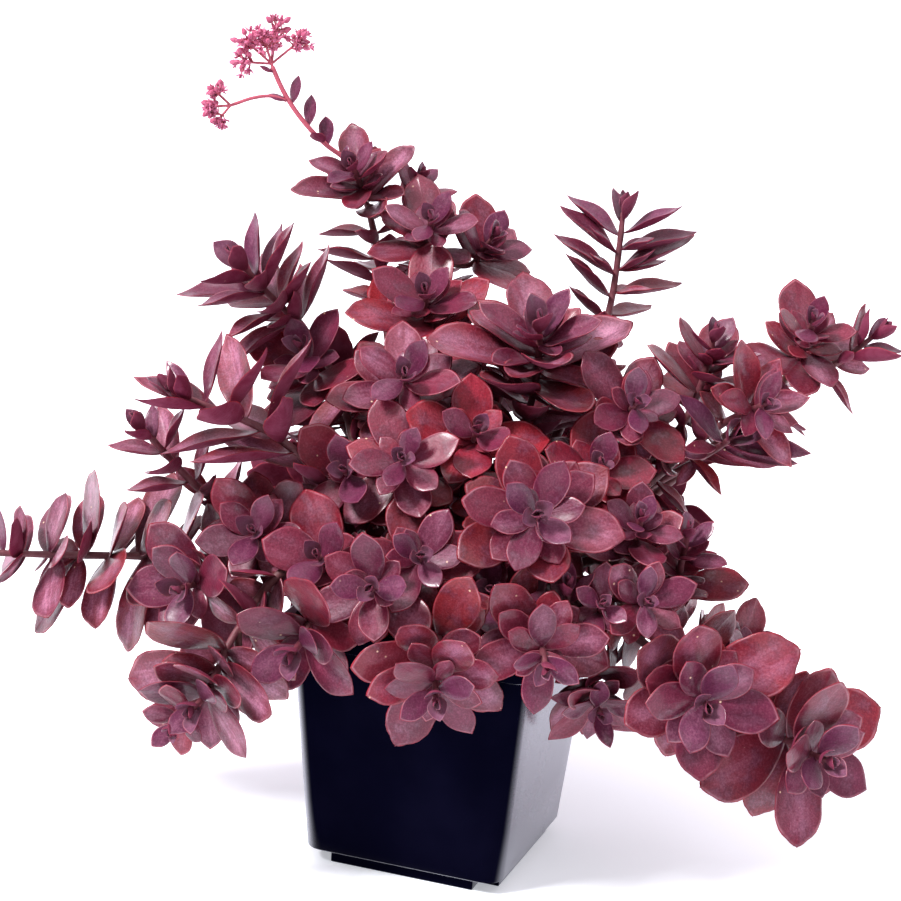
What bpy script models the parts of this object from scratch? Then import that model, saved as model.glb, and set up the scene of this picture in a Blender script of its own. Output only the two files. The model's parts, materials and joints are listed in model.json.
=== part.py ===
"""A purple-leaved stonecrop spilling over a square nursery pot.

Each leafy shoot is one solid: a stem with its pairs of fleshy leaves.
It stands in its own hole in the soil, and its leaves keep clear of every other shoot.
"""

import math
import random
from collections import namedtuple

import bmesh
import bpy
import numpy as np
from mathutils import Matrix, Quaternion, Vector
from mathutils.bvhtree import BVHTree

MM = 0.001
GAP = 0.35 * MM

# The pot: a square nursery pot with a broad rim and a foot notched at its corners.
POT_HEIGHT = 100 * MM
POT_BASE_WIDTH = 80 * MM
POT_TOP_WIDTH = 96 * MM
POT_CORNER = 8 * MM
CORNER_SIDES = 3
POT_WALL = 1.6 * MM
RIM_WIDTH = 102 * MM
RIM_DEPTH = 9 * MM
FOOT_HEIGHT = 5 * MM
FOOT_WIDTH = 74 * MM
FOOT_NOTCH = 8 * MM
FLOOR_THICKNESS = 1.8 * MM
DRAIN_RADIUS = 3.5 * MM
DRAIN_REACH = 29 * MM
DRAIN_SIDES = 8

# The soil fills the pot to a little below the rim, and each stem stands in a hole of its own.
SOIL_TOP = 87 * MM
SOIL_CROWN = 2 * MM
SOIL_CROWN_MARGIN = 4 * MM
ROOT_DEPTH = 12 * MM
ROOT_SPACING = 8.4 * MM
ROOT_FIELD = 37 * MM
ROOT_LEAN = 0.3
ROOT_STEPS = 600
COLLAR = SOIL_TOP + SOIL_CROWN + 1.5 * MM
HOLE_SIDES = 4

# Where one stands to see the plant as it is laid out below.
VIEW_AZIMUTH = math.radians(18.9)
VIEW_ELEVATION = math.radians(16.4)
VIEW_ROLL = math.radians(3.5)
VIEW_DISTANCE = 1137 * MM
VIEW_CENTRE = Vector((-3, 0, 160)) * MM
RIM_CENTRE = Vector((0, 0, POT_HEIGHT))

STEM_LEAN = 0.12
STEM_ROOT_RADIUS = 2.2 * MM
STEM_TIP_RADIUS = 1.1 * MM
BUD_RADIUS = 2.3 * MM
BUD_TOP_RADIUS = 0.5 * MM
BUD_LENGTH = 7 * MM
STEM_POINTS = 24
TREE_SIDES = 6
# Which of a stem's points its tube keeps, how freely each may move, and the one where a branch leaves.
STEM_STATIONS = (0, 1, 5, 10, 16, 21, 23)
STATION_FREEDOM = (0, 0, 1, 1, 0.8, 0.3, 0)
BRANCH_STATION = 4
# The last points of a stem run straight, for so many of its leaf gaps. A branch is thinner by a share.
NECK_POINTS = 4
STRAIGHT = 2.6
BRANCH_SHARE = 0.75
# Stems are parted in small steps, by samples along each of their straight lengths.
STEM_CLEARANCE = 6 * MM
LENGTH_SAMPLES = 5
PARTING_STEPS = 40
PARTING_SHARE = 0.3
PARTING_LIMIT = 3
RIM_CLEARANCE = 6 * MM
RIM_INSIDE = 9 * MM
RIM_OUTSIDE = 4 * MM
LEAF_THICKNESS = 2.0 * MM
LEAF_CLEARANCE = 0.35 * MM
FLOOR_CLEARANCE = 3 * MM

# A shoot's tip lies so far right and up of the rim's centre, and toward the viewer, in mm.
# It looks along (right, up, toward). Its leaves grow up to a length in mm and a width as a share of it,
# in so many pairs, so far apart; turn is where the first leaf points, in degrees from the right, and open
# how far the oldest leaves stand off the stem. The stem rises and then runs so far in its two bends,
# and its leaves turn their faces to the light by a share of faces, and stand up toward the sky by one of sky.
# Each pair is turned from the last by twist degrees, and the youngest have a share of the full length.
Shoot = namedtuple(
    "Shoot",
    "name seen looks leaf broad pairs gap turn open rise run faces parent sky twist youngest",
    defaults=(45, 30, 0.7, None, 0, 108, 0.16),
)
SHOOTS = [
    Shoot("heart", (34, 33, 64), (0.0, 0.12, 1.0), 36, 0.53, 7, 5.5, 280, 88),
    Shoot("front_low", (-5, -37, 78), (0.0, -0.35, 0.95), 36, 0.50, 7, 6.5, 350, 84, 45, 25),
    Shoot("front_low_right", (37, -25, 72), (0.1, -0.2, 1.0), 31, 0.50, 6, 5.5, 300, 86, 45, 25),
    Shoot("right_low", (99, -40, 62), (0.1, -0.15, 1.0), 39, 0.56, 7, 6, 200, 86, 45, 35),
    Shoot("right_lowest", (145, -61, 50), (0.4, -0.1, 0.9), 38, 0.58, 7, 7, 195, 84, 58, 40),
    Shoot("left_low", (-98, -41, 58), (-0.35, -0.35, 0.9), 37, 0.54, 7, 6.5, 10, 82, 50, 35),
    Shoot("left_low_twin", (-106, -49, 56), (-0.3, -0.5, 0.8), 24, 0.55, 3, 4, 20, 80, 8, 8, 0.5, "left_low"),
    Shoot("left_rim", (-60, -20, 56), (-0.3, -0.2, 1.0), 42, 0.58, 5, 7.5, 0, 84, 50, 30),
    Shoot("left_inner", (-103, 5, 34), (-0.4, -0.1, 0.9), 37, 0.60, 7, 7, 50, 82, 40, 35),
    Shoot("left_shoulder", (-75, 27, 28), (-0.1, 0.25, 0.95), 34, 0.55, 7, 6, 40, 85, 40, 35),
    Shoot("front_left", (-30, 5, 68), (-0.1, 0.05, 1.0), 32, 0.54, 6, 6, 310, 86),
    Shoot("front_middle", (-11, 17, 60), (0.05, 0.2, 1.0), 31, 0.54, 6, 6, 275, 86, 40, 25),
    Shoot("mid_front", (16, 4, 46), (0.0, 0.25, 1.0), 36, 0.62, 5, 7, 60, 84, 35, 25),
    Shoot("brow_left", (-18, 55, 44), (0.0, 0.2, 1.0), 31, 0.54, 6, 5.5, 40, 86),
    Shoot("crown_left", (-17, 87, 24), (0.05, 0.35, 0.95), 33, 0.52, 7, 5.5, 10, 84, 50, 35),
    Shoot("crown_right", (35, 105, 12), (0.0, 0.7, 0.7), 44, 0.46, 8, 5.5, 20, 74, 50, 35, 0.4),
    Shoot("brow_right", (72, 76, 22), (0.15, 0.25, 0.95), 31, 0.54, 6, 5.5, 60, 86, 50, 35),
    Shoot("tower_low", (-9, 118, -12), (0.0, 0.5, 0.85), 35, 0.56, 7, 5.5, 10, 78, 60, 35),
    Shoot("tower_mid", (-7, 147, -28), (0.0, 0.45, 0.9), 30, 0.52, 6, 5.5, 25, 78, 70, 35),
    Shoot("tower_side", (17, 140, -42), (0.4, 0.5, 0.6), 30, 0.60, 5, 5.5, 40, 76, 15, 15, 0.7, "tower_mid"),
    Shoot("tower_top", (-37, 167, -40), (-0.2, 0.4, 0.9), 31, 0.46, 7, 5.5, 15, 74, 70, 35),
    Shoot("tower_back", (-11, 163, -58), (0.4, 0.7, 0.3), 25, 0.54, 4, 5, 20, 66, 15, 15, 0.5, "tower_top"),
    Shoot("spire_right", (67, 149, -40), (0.1, 1, 0.15), 32, 0.38, 6, 9, 305, 76, 60, 45, 1.3, None, 0, 17, 0.6),
    Shoot("spire_left", (-80, 130, -15), (-0.6, 0.7, 0.4), 36, 0.38, 6, 9, 20, 72, 50, 50, 0.4, youngest=0.45),
    Shoot("reach_left", (-106, 80, 26), (-0.9, 0.35, 0.25), 42, 0.34, 10, 8, 90, 68, 35, 60, 0, None, 0.9),
    Shoot("reach_left_low", (-119, 68, 12), (-0.5, 0.6, 0.4), 32, 0.42, 5, 9, 30, 70, 35, 50, 0.2, None, 0.3),
    Shoot("trail_left", (-183, 19, 0), (-1.0, 0.05, 0.15), 36, 0.56, 9, 11.5, 45, 98, 40, 80, 2.4, None, 0.25),
    Shoot("shoulder_left", (-57, 97, -14), (-0.3, 0.45, 0.8), 36, 0.60, 6, 7, 75, 80, 45, 35),
    Shoot("mid_left", (-40, 50, 28), (-0.15, 0.2, 1.0), 34, 0.62, 5, 6.5, 75, 84, 40, 30),
    Shoot("mid_low_left", (-50, 17, 44), (-0.2, 0.3, 0.9), 36, 0.64, 5, 7, 20, 80, 40, 30),
    Shoot("mid_red", (11, 66, 32), (0.1, 0.35, 0.9), 34, 0.62, 5, 6.5, 120, 82, 45, 30),
    Shoot("mid_right", (58, 52, 30), (0.15, 0.35, 0.9), 34, 0.60, 5, 7, 30, 80, 45, 30),
    Shoot("inner_right", (76, 0, 57), (0.15, 0.1, 0.95), 28, 0.50, 5, 5.5, 55, 84, 40, 30),
    Shoot("low_dark", (58, -43, 46), (0.1, -0.2, 1.0), 30, 0.44, 6, 6, 60, 84, 40, 30),
    Shoot("right_behind", (121, -21, 8), (0.5, 0.1, 0.7), 27, 0.60, 5, 6, 10, 84, 40, 40),
    Shoot("shoulder_right", (122, 76, 25), (0.25, 0.15, 0.95), 31, 0.44, 5, 7, 40, 84, 45, 40, 0.5),
    Shoot("right_blades", (109, 63, 8), (0.4, 0.3, 0.9), 38, 0.28, 3, 7, 312, 84, 45, 40, 0.3, None, 0, 12, 0.5),
    Shoot("rise_right", (102, 102, 5), (0.15, 0.8, 0.45), 31, 0.54, 6, 7, 10, 72, 45, 40, 0.5),
    Shoot("far_right", (140, 108, -10), (0.05, 0.5, 0.8), 30, 0.56, 6, 7, 30, 78, 40, 45, 0.5),
    Shoot("far_right_tip", (166, 104, -20), (0.75, 0.6, 0.1), 26, 0.36, 5, 6, 60, 62, 15, 15, 0.2, "far_right"),
    Shoot("right_small", (92, 27, 22), (0.1, 0.7, 0.6), 28, 0.54, 6, 8, 0, 80, 35, 35),
    Shoot("right_tuft", (74, 32, 40), (0.1, 0.6, 0.75), 26, 0.54, 6, 5, 20, 72, 40, 30, 0.4),
    Shoot("low_tuft", (59, -1, 57), (0.05, 0.3, 0.9), 24, 0.54, 4, 5, 110, 80, 15, 15, 0.4, "inner_right"),
    Shoot("narrow_tuft", (46, 6, 52), (0.0, 0.8, 0.5), 24, 0.40, 4, 5, 40, 60, 15, 15, 0.2, "right_tuft"),
    Shoot("back_top", (-8, 92, -92), (0.0, 0.5, -0.9), 36, 0.60, 5, 6.5, 30, 82, 50, 35),
    Shoot("back_mid_left", (-38, 38, -72), (-0.3, 0.3, -0.9), 38, 0.62, 5, 6.5, 60, 82, 45, 30),
    Shoot("back_mid_right", (30, 42, -78), (0.2, 0.3, -0.95), 38, 0.62, 5, 6.5, 15, 82, 45, 30),
    Shoot("back_high_left", (-44, 92, -58), (-0.3, 0.6, -0.7), 34, 0.58, 6, 6.5, 10, 82, 50, 35),
    Shoot("back_high_right", (25, 95, -75), (0.2, 0.6, -0.8), 34, 0.58, 5, 6.5, 40, 82, 50, 35),
    Shoot("back_left", (-62, 48, -80), (-0.5, 0.3, -0.85), 36, 0.60, 5, 6.5, 70, 84, 45, 35),
    Shoot("back_middle", (-10, 58, -108), (0.0, 0.3, -1.0), 36, 0.60, 5, 6.5, 20, 84, 45, 35),
    Shoot("back_right", (50, 58, -98), (0.3, 0.25, -1.0), 36, 0.60, 5, 6.5, 50, 84, 45, 35),
    Shoot("back_low_left", (-45, 8, -104), (-0.25, -0.15, -1.0), 36, 0.60, 5, 7, 35, 84, 50, 35),
    Shoot("back_low_right", (20, 6, -112), (0.1, -0.2, -1.0), 36, 0.60, 5, 7, 65, 84, 50, 35),
    Shoot("back_far_right", (88, 30, -70), (0.8, 0.1, -0.7), 36, 0.60, 5, 7, 35, 84, 45, 35),
]

# How a shoot opens: leaf length, angle from the stem and spacing, pair by pair from the tip.
LENGTH_STEP = 0.185
OPENS_IN = 1.7
OPENS_FROM = 0.35
FIRST_SPACING = 0.24
SPACING_STEP = 0.21
FIRST_BACK = 0.3
STAGGER = 0.22
LIGHT = Vector((0, -0.6, 0.65))
SKY = Vector((0, 0, 1))
LIGHT_FROM = Vector((0, 0, 60)) * MM
LIGHT_SPREAD = 0.25
FACES_STEP = 0.22
ANGLE_SPREAD = 9
TURN_SPREAD = 11
LENGTH_SPREAD = 0.1
# A leaf bends back along its length, in degrees, and is cupped across by a share of its half width.
YOUNG_BEND = 26
BEND_SPREAD = (-6, 16)
CUP_SPREAD = (0.10, 0.22)
YOUNG_THICKNESS = 0.6
# What a leaf tries, to come clear of its neighbours: lift and swing in degrees, and a share of its length.
TRIES = [
    (0, 0, 1),
    (-9, 0, 1),
    (9, 0, 1),
    (0, 11, 1),
    (0, -11, 1),
    (-18, 0, 0.97),
    (18, 0, 0.97),
    (-9, 18, 0.95),
    (-9, -18, 0.95),
    (9, 22, 0.95),
    (9, -22, 0.95),
    (-28, 0, 0.92),
    (28, 0, 0.92),
    (0, 30, 0.9),
    (0, -30, 0.9),
    (-20, 14, 0.82),
    (-20, -14, 0.82),
    (-36, 0, 0.8),
    (-12, 0, 0.7),
    (14, 0, 0.7),
    (-30, 20, 0.66),
    (-30, -20, 0.66),
]
Leaf = namedtuple("Leaf", "shoot pair base along face length width bend cup thickness")

# The youngest pair that stands off the bud; the ones before it are still folded in it.
FIRST_PAIR = 2
# The blade's edge: shares of its length, with shares of its half width there.
# A grown leaf has one blunt tooth on each side near its tip, with a notch after it.
TOOTHED_FROM = 5
TOOTHED_EDGE = [(0.50, 1.04), (0.84, 0.86), (0.90, 0.60)]
PLAIN_EDGE = [(0.47, 1.04), (0.83, 0.80)]
BLADE_MIDDLE = 0.36
LOW_POINTS = [(1, 0), (0.6, 1), (0.6, -1)]
# Leaves whose middles are farther apart than this share of their lengths can't meet.
NEAR_SHARE = 0.62

# The flower stalk on the tallest shoot, as the four handles of its curve, and the small leaves along it.
STALK_OF = "tower_top"
STALK_FROM = -2
STALK = [(-40, 170, -45), (-52, 178, -42), (-62, 190, -38), (-67.7, 205.2, -37)]
STALK_POINTS = 6
STALK_RADIUS = 1.0 * MM
STALK_BRACTS = [
    (0.14, 25, 6),
    (0.30, 20, 12),
    (0.34, 265, 10),
    (0.50, 15, 13),
    (0.70, 10, 12),
    (0.74, 190, 9),
    (0.96, 200, 7),
]
SIDE_STALK = [(-62.4, 192.4, -38), (-68, 195.5, -36), (-75, 194, -34), (-82.5, 191, -33)]
SIDE_STALK_POINTS = 4
SIDE_STALK_RADIUS = 0.7 * MM
BRACT_LEAN = 0.75
BRACT_WIDTH = 0.6
BRACT_FACES = 3
BRACT_BEND = 0.3
BRACT_CUP = 0.15
BRACT_THICKNESS = 1.4 * MM
# A head's sprays go from its base toward (right, up, toward the viewer), each so far in mm.
# On each stand so many open florets and buds, up to so far in mm from where they part.
Head = namedtuple("Head", "name base looks sprays stars buds reach")
MAIN_SPRAYS = [
    (0.15, 1.0, 0.1, 14.0),
    (-0.75, 0.65, 0.2, 12.5),
    (-1.0, 0.05, 0.1, 10.5),
    (0.8, 0.65, 0.0, 13.5),
    (-0.25, 0.85, 0.5, 10.0),
    (0.0, 0.7, -0.7, 11.0),
]
SIDE_SPRAYS = [(-0.7, 0.65, 0.1, 8.0), (-1.0, -0.1, 0.2, 7.0), (-0.6, -0.75, 0.1, 6.5)]
HEADS = [
    Head("bloom_main", (-67.85, 205.6, -37), (-0.2, 1.0, 0.0), MAIN_SPRAYS, 2, 2, 4.6),
    Head("bloom_side", (-82.9, 190.85, -33), (-1.0, -0.3, 0.0), SIDE_SPRAYS, 1, 2, 3.2),
]
HEAD_FOOT = 2 * MM
RAY_RADIUS = 0.55 * MM
RAY_SWELL = 1.25
FLORET_TILT = (20, 80)
FLORET_SPREAD = (0.75, 1.15)
FLORET_ROOT = 0.3
GOLDEN_TURN = math.pi * (3 - math.sqrt(5))
STAR_RADIUS = 2.8 * MM
STAR_VALLEY = 0.42
STAR_HEART = 0.9 * MM
CLOSED_RADIUS = 1.2 * MM
CLOSED_TIP = 1.8 * MM

COLOURS = {
    "pot": ((0.008, 0.009, 0.016), 0.28),
    "soil": ((0.035, 0.02, 0.013), 0.95),
    "leaf": ((0.15, 0.03, 0.045), 0.5),
    "bloom": ((0.55, 0.13, 0.22), 0.55),
}


def view_axes():
    """Right, up and toward the viewer, as unit vectors in the pot's frame."""
    level_right = Vector((math.cos(VIEW_AZIMUTH), math.sin(VIEW_AZIMUTH), 0))
    level = math.cos(VIEW_ELEVATION)
    toward = Vector(
        (math.sin(VIEW_AZIMUTH) * level, -math.cos(VIEW_AZIMUTH) * level, math.sin(VIEW_ELEVATION))
    )
    level_up = toward.cross(level_right)
    tilt = Quaternion(toward, VIEW_ROLL)
    return tilt @ level_right, tilt @ level_up, toward


RIGHT, UP, TOWARD = view_axes()
VIEWER = VIEW_CENTRE + TOWARD * VIEW_DISTANCE


def seen(place):
    """The point that is seen so far right and up of the rim's centre, and nearer the viewer, in mm."""
    right, up, toward = (value * MM for value in place)
    nearer = toward / (VIEWER - RIM_CENTRE).length
    return RIM_CENTRE + (RIGHT * right + UP * up) * (1 - nearer) + (VIEWER - RIM_CENTRE) * nearer


def direction(looks):
    right, up, toward = looks
    return (RIGHT * right + UP * up + TOWARD * toward).normalized()


def bezier(handles, count):
    """So many points along the curve that four handles make, its two ends among them."""
    a, b, c, d = handles
    points = []
    for i in range(count):
        t = i / (count - 1)
        s = 1 - t
        points.append(a * s**3 + b * (3 * s * s * t) + c * (3 * s * t * t) + d * t**3)
    return points


def spread_roots():
    """A place in the soil for each shoot that has no parent, on the side that it leans to."""
    rooted = [shoot for shoot in SHOOTS if not shoot.parent]
    places = []
    for shoot in rooted:
        tip = seen(shoot.seen)
        flat = Vector((tip.x, tip.y))
        places.append(flat.normalized() * min(ROOT_LEAN * flat.length, ROOT_FIELD))
    for _ in range(ROOT_STEPS):
        for i, a in enumerate(places):
            for b in places[i + 1 :]:
                apart = a - b
                short = ROOT_SPACING - apart.length
                if short > 0:
                    push = apart.normalized() * short * 0.5
                    a += push
                    b -= push
        for place in places:
            place.x = min(max(place.x, -ROOT_FIELD), ROOT_FIELD)
            place.y = min(max(place.y, -ROOT_FIELD), ROOT_FIELD)
    return {shoot.name: place for shoot, place in zip(rooted, places)}


def first_paths():
    """Each stem's line from its root or its parent to its tip, before the stems are parted."""
    roots = spread_roots()
    paths = {}
    for shoot in SHOOTS:
        tip = seen(shoot.seen)
        looks = direction(shoot.looks)
        neck = tip - looks * STRAIGHT * shoot.gap * MM
        behind = neck - looks * shoot.run * MM
        straight = [neck.lerp(tip, (i + 1) / NECK_POINTS) for i in range(NECK_POINTS)]
        if shoot.parent:
            parent = paths[shoot.parent]
            start = parent[STEM_STATIONS[BRANCH_STATION]]
            lead = start + (parent[-1] - start).normalized() * shoot.rise * MM
            bend = bezier((start, lead, behind, neck), STEM_POINTS - NECK_POINTS)
            paths[shoot.name] = [*bend, *straight]
        else:
            flat = roots[shoot.name]
            collar = Vector((flat.x, flat.y, COLLAR))
            lead = collar + Vector((tip.x * STEM_LEAN, tip.y * STEM_LEAN, shoot.rise * MM))
            root = Vector((flat.x, flat.y, SOIL_TOP - ROOT_DEPTH))
            bend = bezier((collar, lead, behind, neck), STEM_POINTS - NECK_POINTS - 1)
            paths[shoot.name] = [root, *bend, *straight]
    return paths


def part_stems(paths):
    """Moves the stems' bends clear of each other and of the pot's rim, with their roots and tips held."""
    names = list(paths)
    bends = np.array([[tuple(paths[name][k]) for k in STEM_STATIONS] for name in names])
    count, stations = bends.shape[:2]
    along = np.arange((stations - 1) * LENGTH_SAMPLES + 1) / LENGTH_SAMPLES
    weights = np.clip(1 - np.abs(along[:, None] - np.arange(stations)[None, :]), 0, None)
    free = np.array(STATION_FREEDOM)[None, :, None]
    owner = np.repeat(np.arange(count), len(along))
    kin = owner[:, None] == owner[None, :]
    parents = {}
    for i, shoot in enumerate(SHOOTS):
        if shoot.parent:
            parents[i] = names.index(shoot.parent)
            pair = np.outer(owner == i, owner == parents[i])
            kin |= pair | pair.T
    for _ in range(PARTING_STEPS):
        line = weights @ bends
        flat = line.reshape(-1, 3)
        distance = np.sqrt(np.maximum(((flat[:, None] - flat[None, :]) ** 2).sum(axis=2), 1e-12))
        share = np.clip(STEM_CLEARANCE / distance - 1, 0, PARTING_LIMIT)
        share[kin] = 0
        push = (flat * share.sum(axis=1)[:, None] - share @ flat) / 2
        push = push.reshape(line.shape)
        beyond = np.abs(line[..., :2]).max(axis=2) - RIM_WIDTH / 2
        over = (beyond > -RIM_INSIDE) & (beyond < RIM_OUTSIDE)
        push[..., 2] += np.where(over, np.clip(POT_HEIGHT + RIM_CLEARANCE - line[..., 2], 0, None), 0)
        bends = bends + (weights.T @ push) * free * PARTING_SHARE
        for child, parent in parents.items():
            bends[child, 0] = bends[parent, BRANCH_STATION]
    return {name: [Vector(point) for point in bends[i]] for i, name in enumerate(names)}


def stem_outline(path):
    """A stem's points and radii, up to the bud that it ends in."""
    tip, ahead, _ = station(path, 0)
    last = len(path) - 1
    radii = [STEM_ROOT_RADIUS + (STEM_TIP_RADIUS - STEM_ROOT_RADIUS) * i / last for i in range(last)]
    return [*path, tip + ahead * BUD_LENGTH], [*radii, BUD_RADIUS, BUD_TOP_RADIUS]


def station(path, back):
    """The point so far back from a stem's tip, the way the stem points there, and its zero of turn."""
    ahead = (path[-1] - path[-2]).normalized()
    zero = (RIGHT - ahead * RIGHT.dot(ahead)).normalized()
    for a, b in zip(path[:0:-1], path[-2::-1]):
        turned = (a - b).normalized()
        zero = ahead.rotation_difference(turned) @ zero
        ahead = turned
        step = (a - b).length
        if step >= back:
            return a + (b - a) * (back / step), ahead, zero
        back -= step
    return path[0], ahead, zero


def path_length(path):
    return sum((a - b).length for a, b in zip(path, path[1:]))


def spacing(shoot, pair):
    return shoot.gap * MM * min(1, FIRST_SPACING + SPACING_STEP * pair)


def leaf_back(shoot, pair, side):
    """How far behind the tip one leaf of a pair grows."""
    return sum(spacing(shoot, k) for k in range(pair)) + (FIRST_BACK + STAGGER * side) * spacing(shoot, pair)


def reared(shoot, path, back):
    """A station whose way ahead is turned up, as the leaves of leaning and trailing shoots stand."""
    base, ahead, zero = station(path, back)
    risen = (ahead + SKY * shoot.sky).normalized()
    return base, risen, ahead.rotation_difference(risen) @ zero


def face_light(base, along, face, share):
    """A leaf's face, turned about its length by a share toward the open sky on its side of the plant."""
    light = (base - LIGHT_FROM).normalized() * LIGHT_SPREAD + LIGHT
    light -= along * light.dot(along)
    return (face + light * share).normalized()


def make_leaf(shoot, path, pair, side, attempt):
    """The leaf that a shoot grows at a pair, as changed by one of the tries for room."""
    lift, swing, share = attempt
    chance = random.Random(f"{shoot.name} {pair} {side}")
    grown = min(1.0, shoot.youngest + LENGTH_STEP * pair)
    length = shoot.leaf * MM * grown * (1 + chance.uniform(-LENGTH_SPREAD, LENGTH_SPREAD)) * share
    opened = 1 - math.exp(-(pair + OPENS_FROM) / OPENS_IN)
    angle = shoot.open * opened + chance.uniform(-1, 1) * ANGLE_SPREAD * grown
    turn = shoot.turn + shoot.twist * pair + 180 * side + chance.uniform(-1, 1) * TURN_SPREAD
    bend = math.radians(YOUNG_BEND * (1 - grown) + chance.uniform(*BEND_SPREAD))
    cup = chance.uniform(*CUP_SPREAD)
    base, ahead, zero = reared(shoot, path, leaf_back(shoot, pair, side))
    outward = Quaternion(ahead, math.radians(turn + swing)) @ zero
    tilt = math.radians(angle + lift)
    along = ahead * math.cos(tilt) + outward * math.sin(tilt)
    face = ahead * math.sin(tilt) - outward * math.cos(tilt)
    face = face_light(base, along, face, shoot.faces * min(1, FACES_STEP * pair))
    thickness = LEAF_THICKNESS * (YOUNG_THICKNESS + (1 - YOUNG_THICKNESS) * grown)
    return Leaf(shoot.name, pair, base, along, face, length, length * shoot.broad, bend, cup, thickness)


def blade_point(leaf, t, across, lift=0.0):
    """A point of the blade's middle surface, t along it and across from -1 to 1, lifted off it."""
    curl = leaf.bend * t
    forward, raised = leaf.length * t, 0.0
    if abs(leaf.bend) > 1e-4:
        forward = leaf.length * math.sin(curl) / leaf.bend
        raised = leaf.length * (1 - math.cos(curl)) / leaf.bend
    upward = leaf.face * math.cos(curl) - leaf.along * math.sin(curl)
    sideways = leaf.along.cross(leaf.face)
    half = leaf.width / 2
    point = leaf.base + leaf.along * forward + leaf.face * raised
    return point + sideways * (across * half) + upward * (leaf.cup * half * across * across + lift)


def blade_edge(leaf, spare):
    """The blade's corners, from its root up one side and down the other."""
    edge = TOOTHED_EDGE if leaf.pair >= TOOTHED_FROM else PLAIN_EDGE
    widen = 1 + 2 * spare / leaf.width
    right = [blade_point(leaf, t, half * widen) for t, half in edge]
    left = [blade_point(leaf, t, -half * widen) for t, half in reversed(edge)]
    return [leaf.base, *right, blade_point(leaf, 1 + spare / leaf.length, 0), *left]


def add_blade(mesh, leaf, spare=0.0):
    """A fleshy blade: a ball of two fans, its equator drawn out to the leaf's edge."""
    edge = blade_edge(leaf, spare)
    thick = leaf.thickness / 2 + spare
    ball = bmesh.ops.create_uvsphere(mesh, u_segments=len(edge), v_segments=2, radius=1)
    for corner in ball["verts"]:
        if abs(corner.co.z) > 0.5:
            corner.co = blade_point(leaf, BLADE_MIDDLE, 0, math.copysign(thick, corner.co.z))
        else:
            turn = math.atan2(corner.co.y, corner.co.x) / (2 * math.pi)
            corner.co = edge[round(turn * len(edge)) % len(edge)]


def blade_tree(leaf):
    mesh = bmesh.new()
    add_blade(mesh, leaf, LEAF_CLEARANCE)
    tree = BVHTree.FromBMesh(mesh)
    mesh.free()
    return tree


def stem_tree(path):
    """A stem's skin with its clearance, length by length."""
    mesh = bmesh.new()
    radius = STEM_ROOT_RADIUS + LEAF_CLEARANCE
    line, _ = stem_outline(path)
    for a, b in zip(line, line[1:]):
        place = Matrix.Translation((a + b) / 2) @ (b - a).to_track_quat("Z", "Y").to_matrix().to_4x4()
        length = (b - a).length
        bmesh.ops.create_cone(
            mesh, segments=TREE_SIDES, radius1=radius, radius2=radius, depth=length, matrix=place
        )
    tree = BVHTree.FromBMesh(mesh)
    mesh.free()
    return tree


def has_room(leaf, tree, placed, stems, still):
    """True if a leaf is clear of the pot, the soil, the floor, other stems and all but its next leaves."""
    low = min(blade_point(leaf, t, across).z for t, across in LOW_POINTS)
    if low < FLOOR_CLEARANCE or any(tree.overlap(other) for other in still):
        return False
    if any(name != leaf.shoot and tree.overlap(stem) for name, stem in stems.items()):
        return False
    middle = blade_point(leaf, BLADE_MIDDLE, 0)
    for other, other_middle, other_tree in placed:
        near = (leaf.length + other.length) * NEAR_SHARE
        neighbour = other.shoot == leaf.shoot and leaf.pair - other.pair < 2
        if not neighbour and (other_middle - middle).length < near and tree.overlap(other_tree):
            return False
    return True


def grow(paths, still):
    """Every leaf that finds room, the youngest pairs first, so that each rosette keeps its heart."""
    stems = {name: stem_tree(path) for name, path in paths.items()}
    placed = []
    for pair in range(FIRST_PAIR, max(shoot.pairs for shoot in SHOOTS)):
        for shoot in SHOOTS:
            path = paths[shoot.name]
            room = path_length(path) - ROOT_DEPTH - 2 * STEM_ROOT_RADIUS
            for side in (0, 1):
                if pair >= shoot.pairs or leaf_back(shoot, pair, side) > room:
                    continue
                for attempt in TRIES:
                    leaf = make_leaf(shoot, path, pair, side, attempt)
                    tree = blade_tree(leaf)
                    if has_room(leaf, tree, placed, stems, still):
                        placed.append((leaf, blade_point(leaf, BLADE_MIDDLE, 0), tree))
                        break
    return [leaf for leaf, _, _ in placed]


def new_material(name):
    colour, roughness = COLOURS[name]
    material = bpy.data.materials.new(name)
    material.use_nodes = True
    shader = material.node_tree.nodes["Principled BSDF"]
    shader.inputs["Base Color"].default_value = (*colour, 1)
    shader.inputs["Roughness"].default_value = roughness
    shader.inputs["Metallic"].default_value = 0
    return material


def new_object(name, mesh, collection, material=None):
    made = bpy.data.objects.new(name, mesh)
    collection.objects.link(made)
    if material:
        made.data.materials.clear()
        made.data.materials.append(material)
    return made


def mesh_from(build):
    """A new mesh, with the shapes that a function adds to it."""
    work = bmesh.new()
    build(work)
    mesh = bpy.data.meshes.new("shape")
    work.to_mesh(mesh)
    work.free()
    return mesh


def new_collection(name):
    collection = bpy.data.collections.new(name)
    bpy.context.scene.collection.children.link(collection)
    return collection


def combine(body, pieces, operation):
    """Joins a collection's pieces to a body, or cuts them from it, in one step, and removes them."""
    boolean = body.modifiers.new(operation.lower(), "BOOLEAN")
    boolean.operation = operation
    boolean.operand_type = "COLLECTION"
    boolean.collection = pieces
    boolean.solver = "EXACT"
    evaluated = body.evaluated_get(bpy.context.evaluated_depsgraph_get())
    mesh = bpy.data.meshes.new_from_object(evaluated)
    body.modifiers.clear()
    body.data = mesh
    for piece in list(pieces.objects):
        bpy.data.objects.remove(piece)
    bpy.data.collections.remove(pieces)


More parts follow.
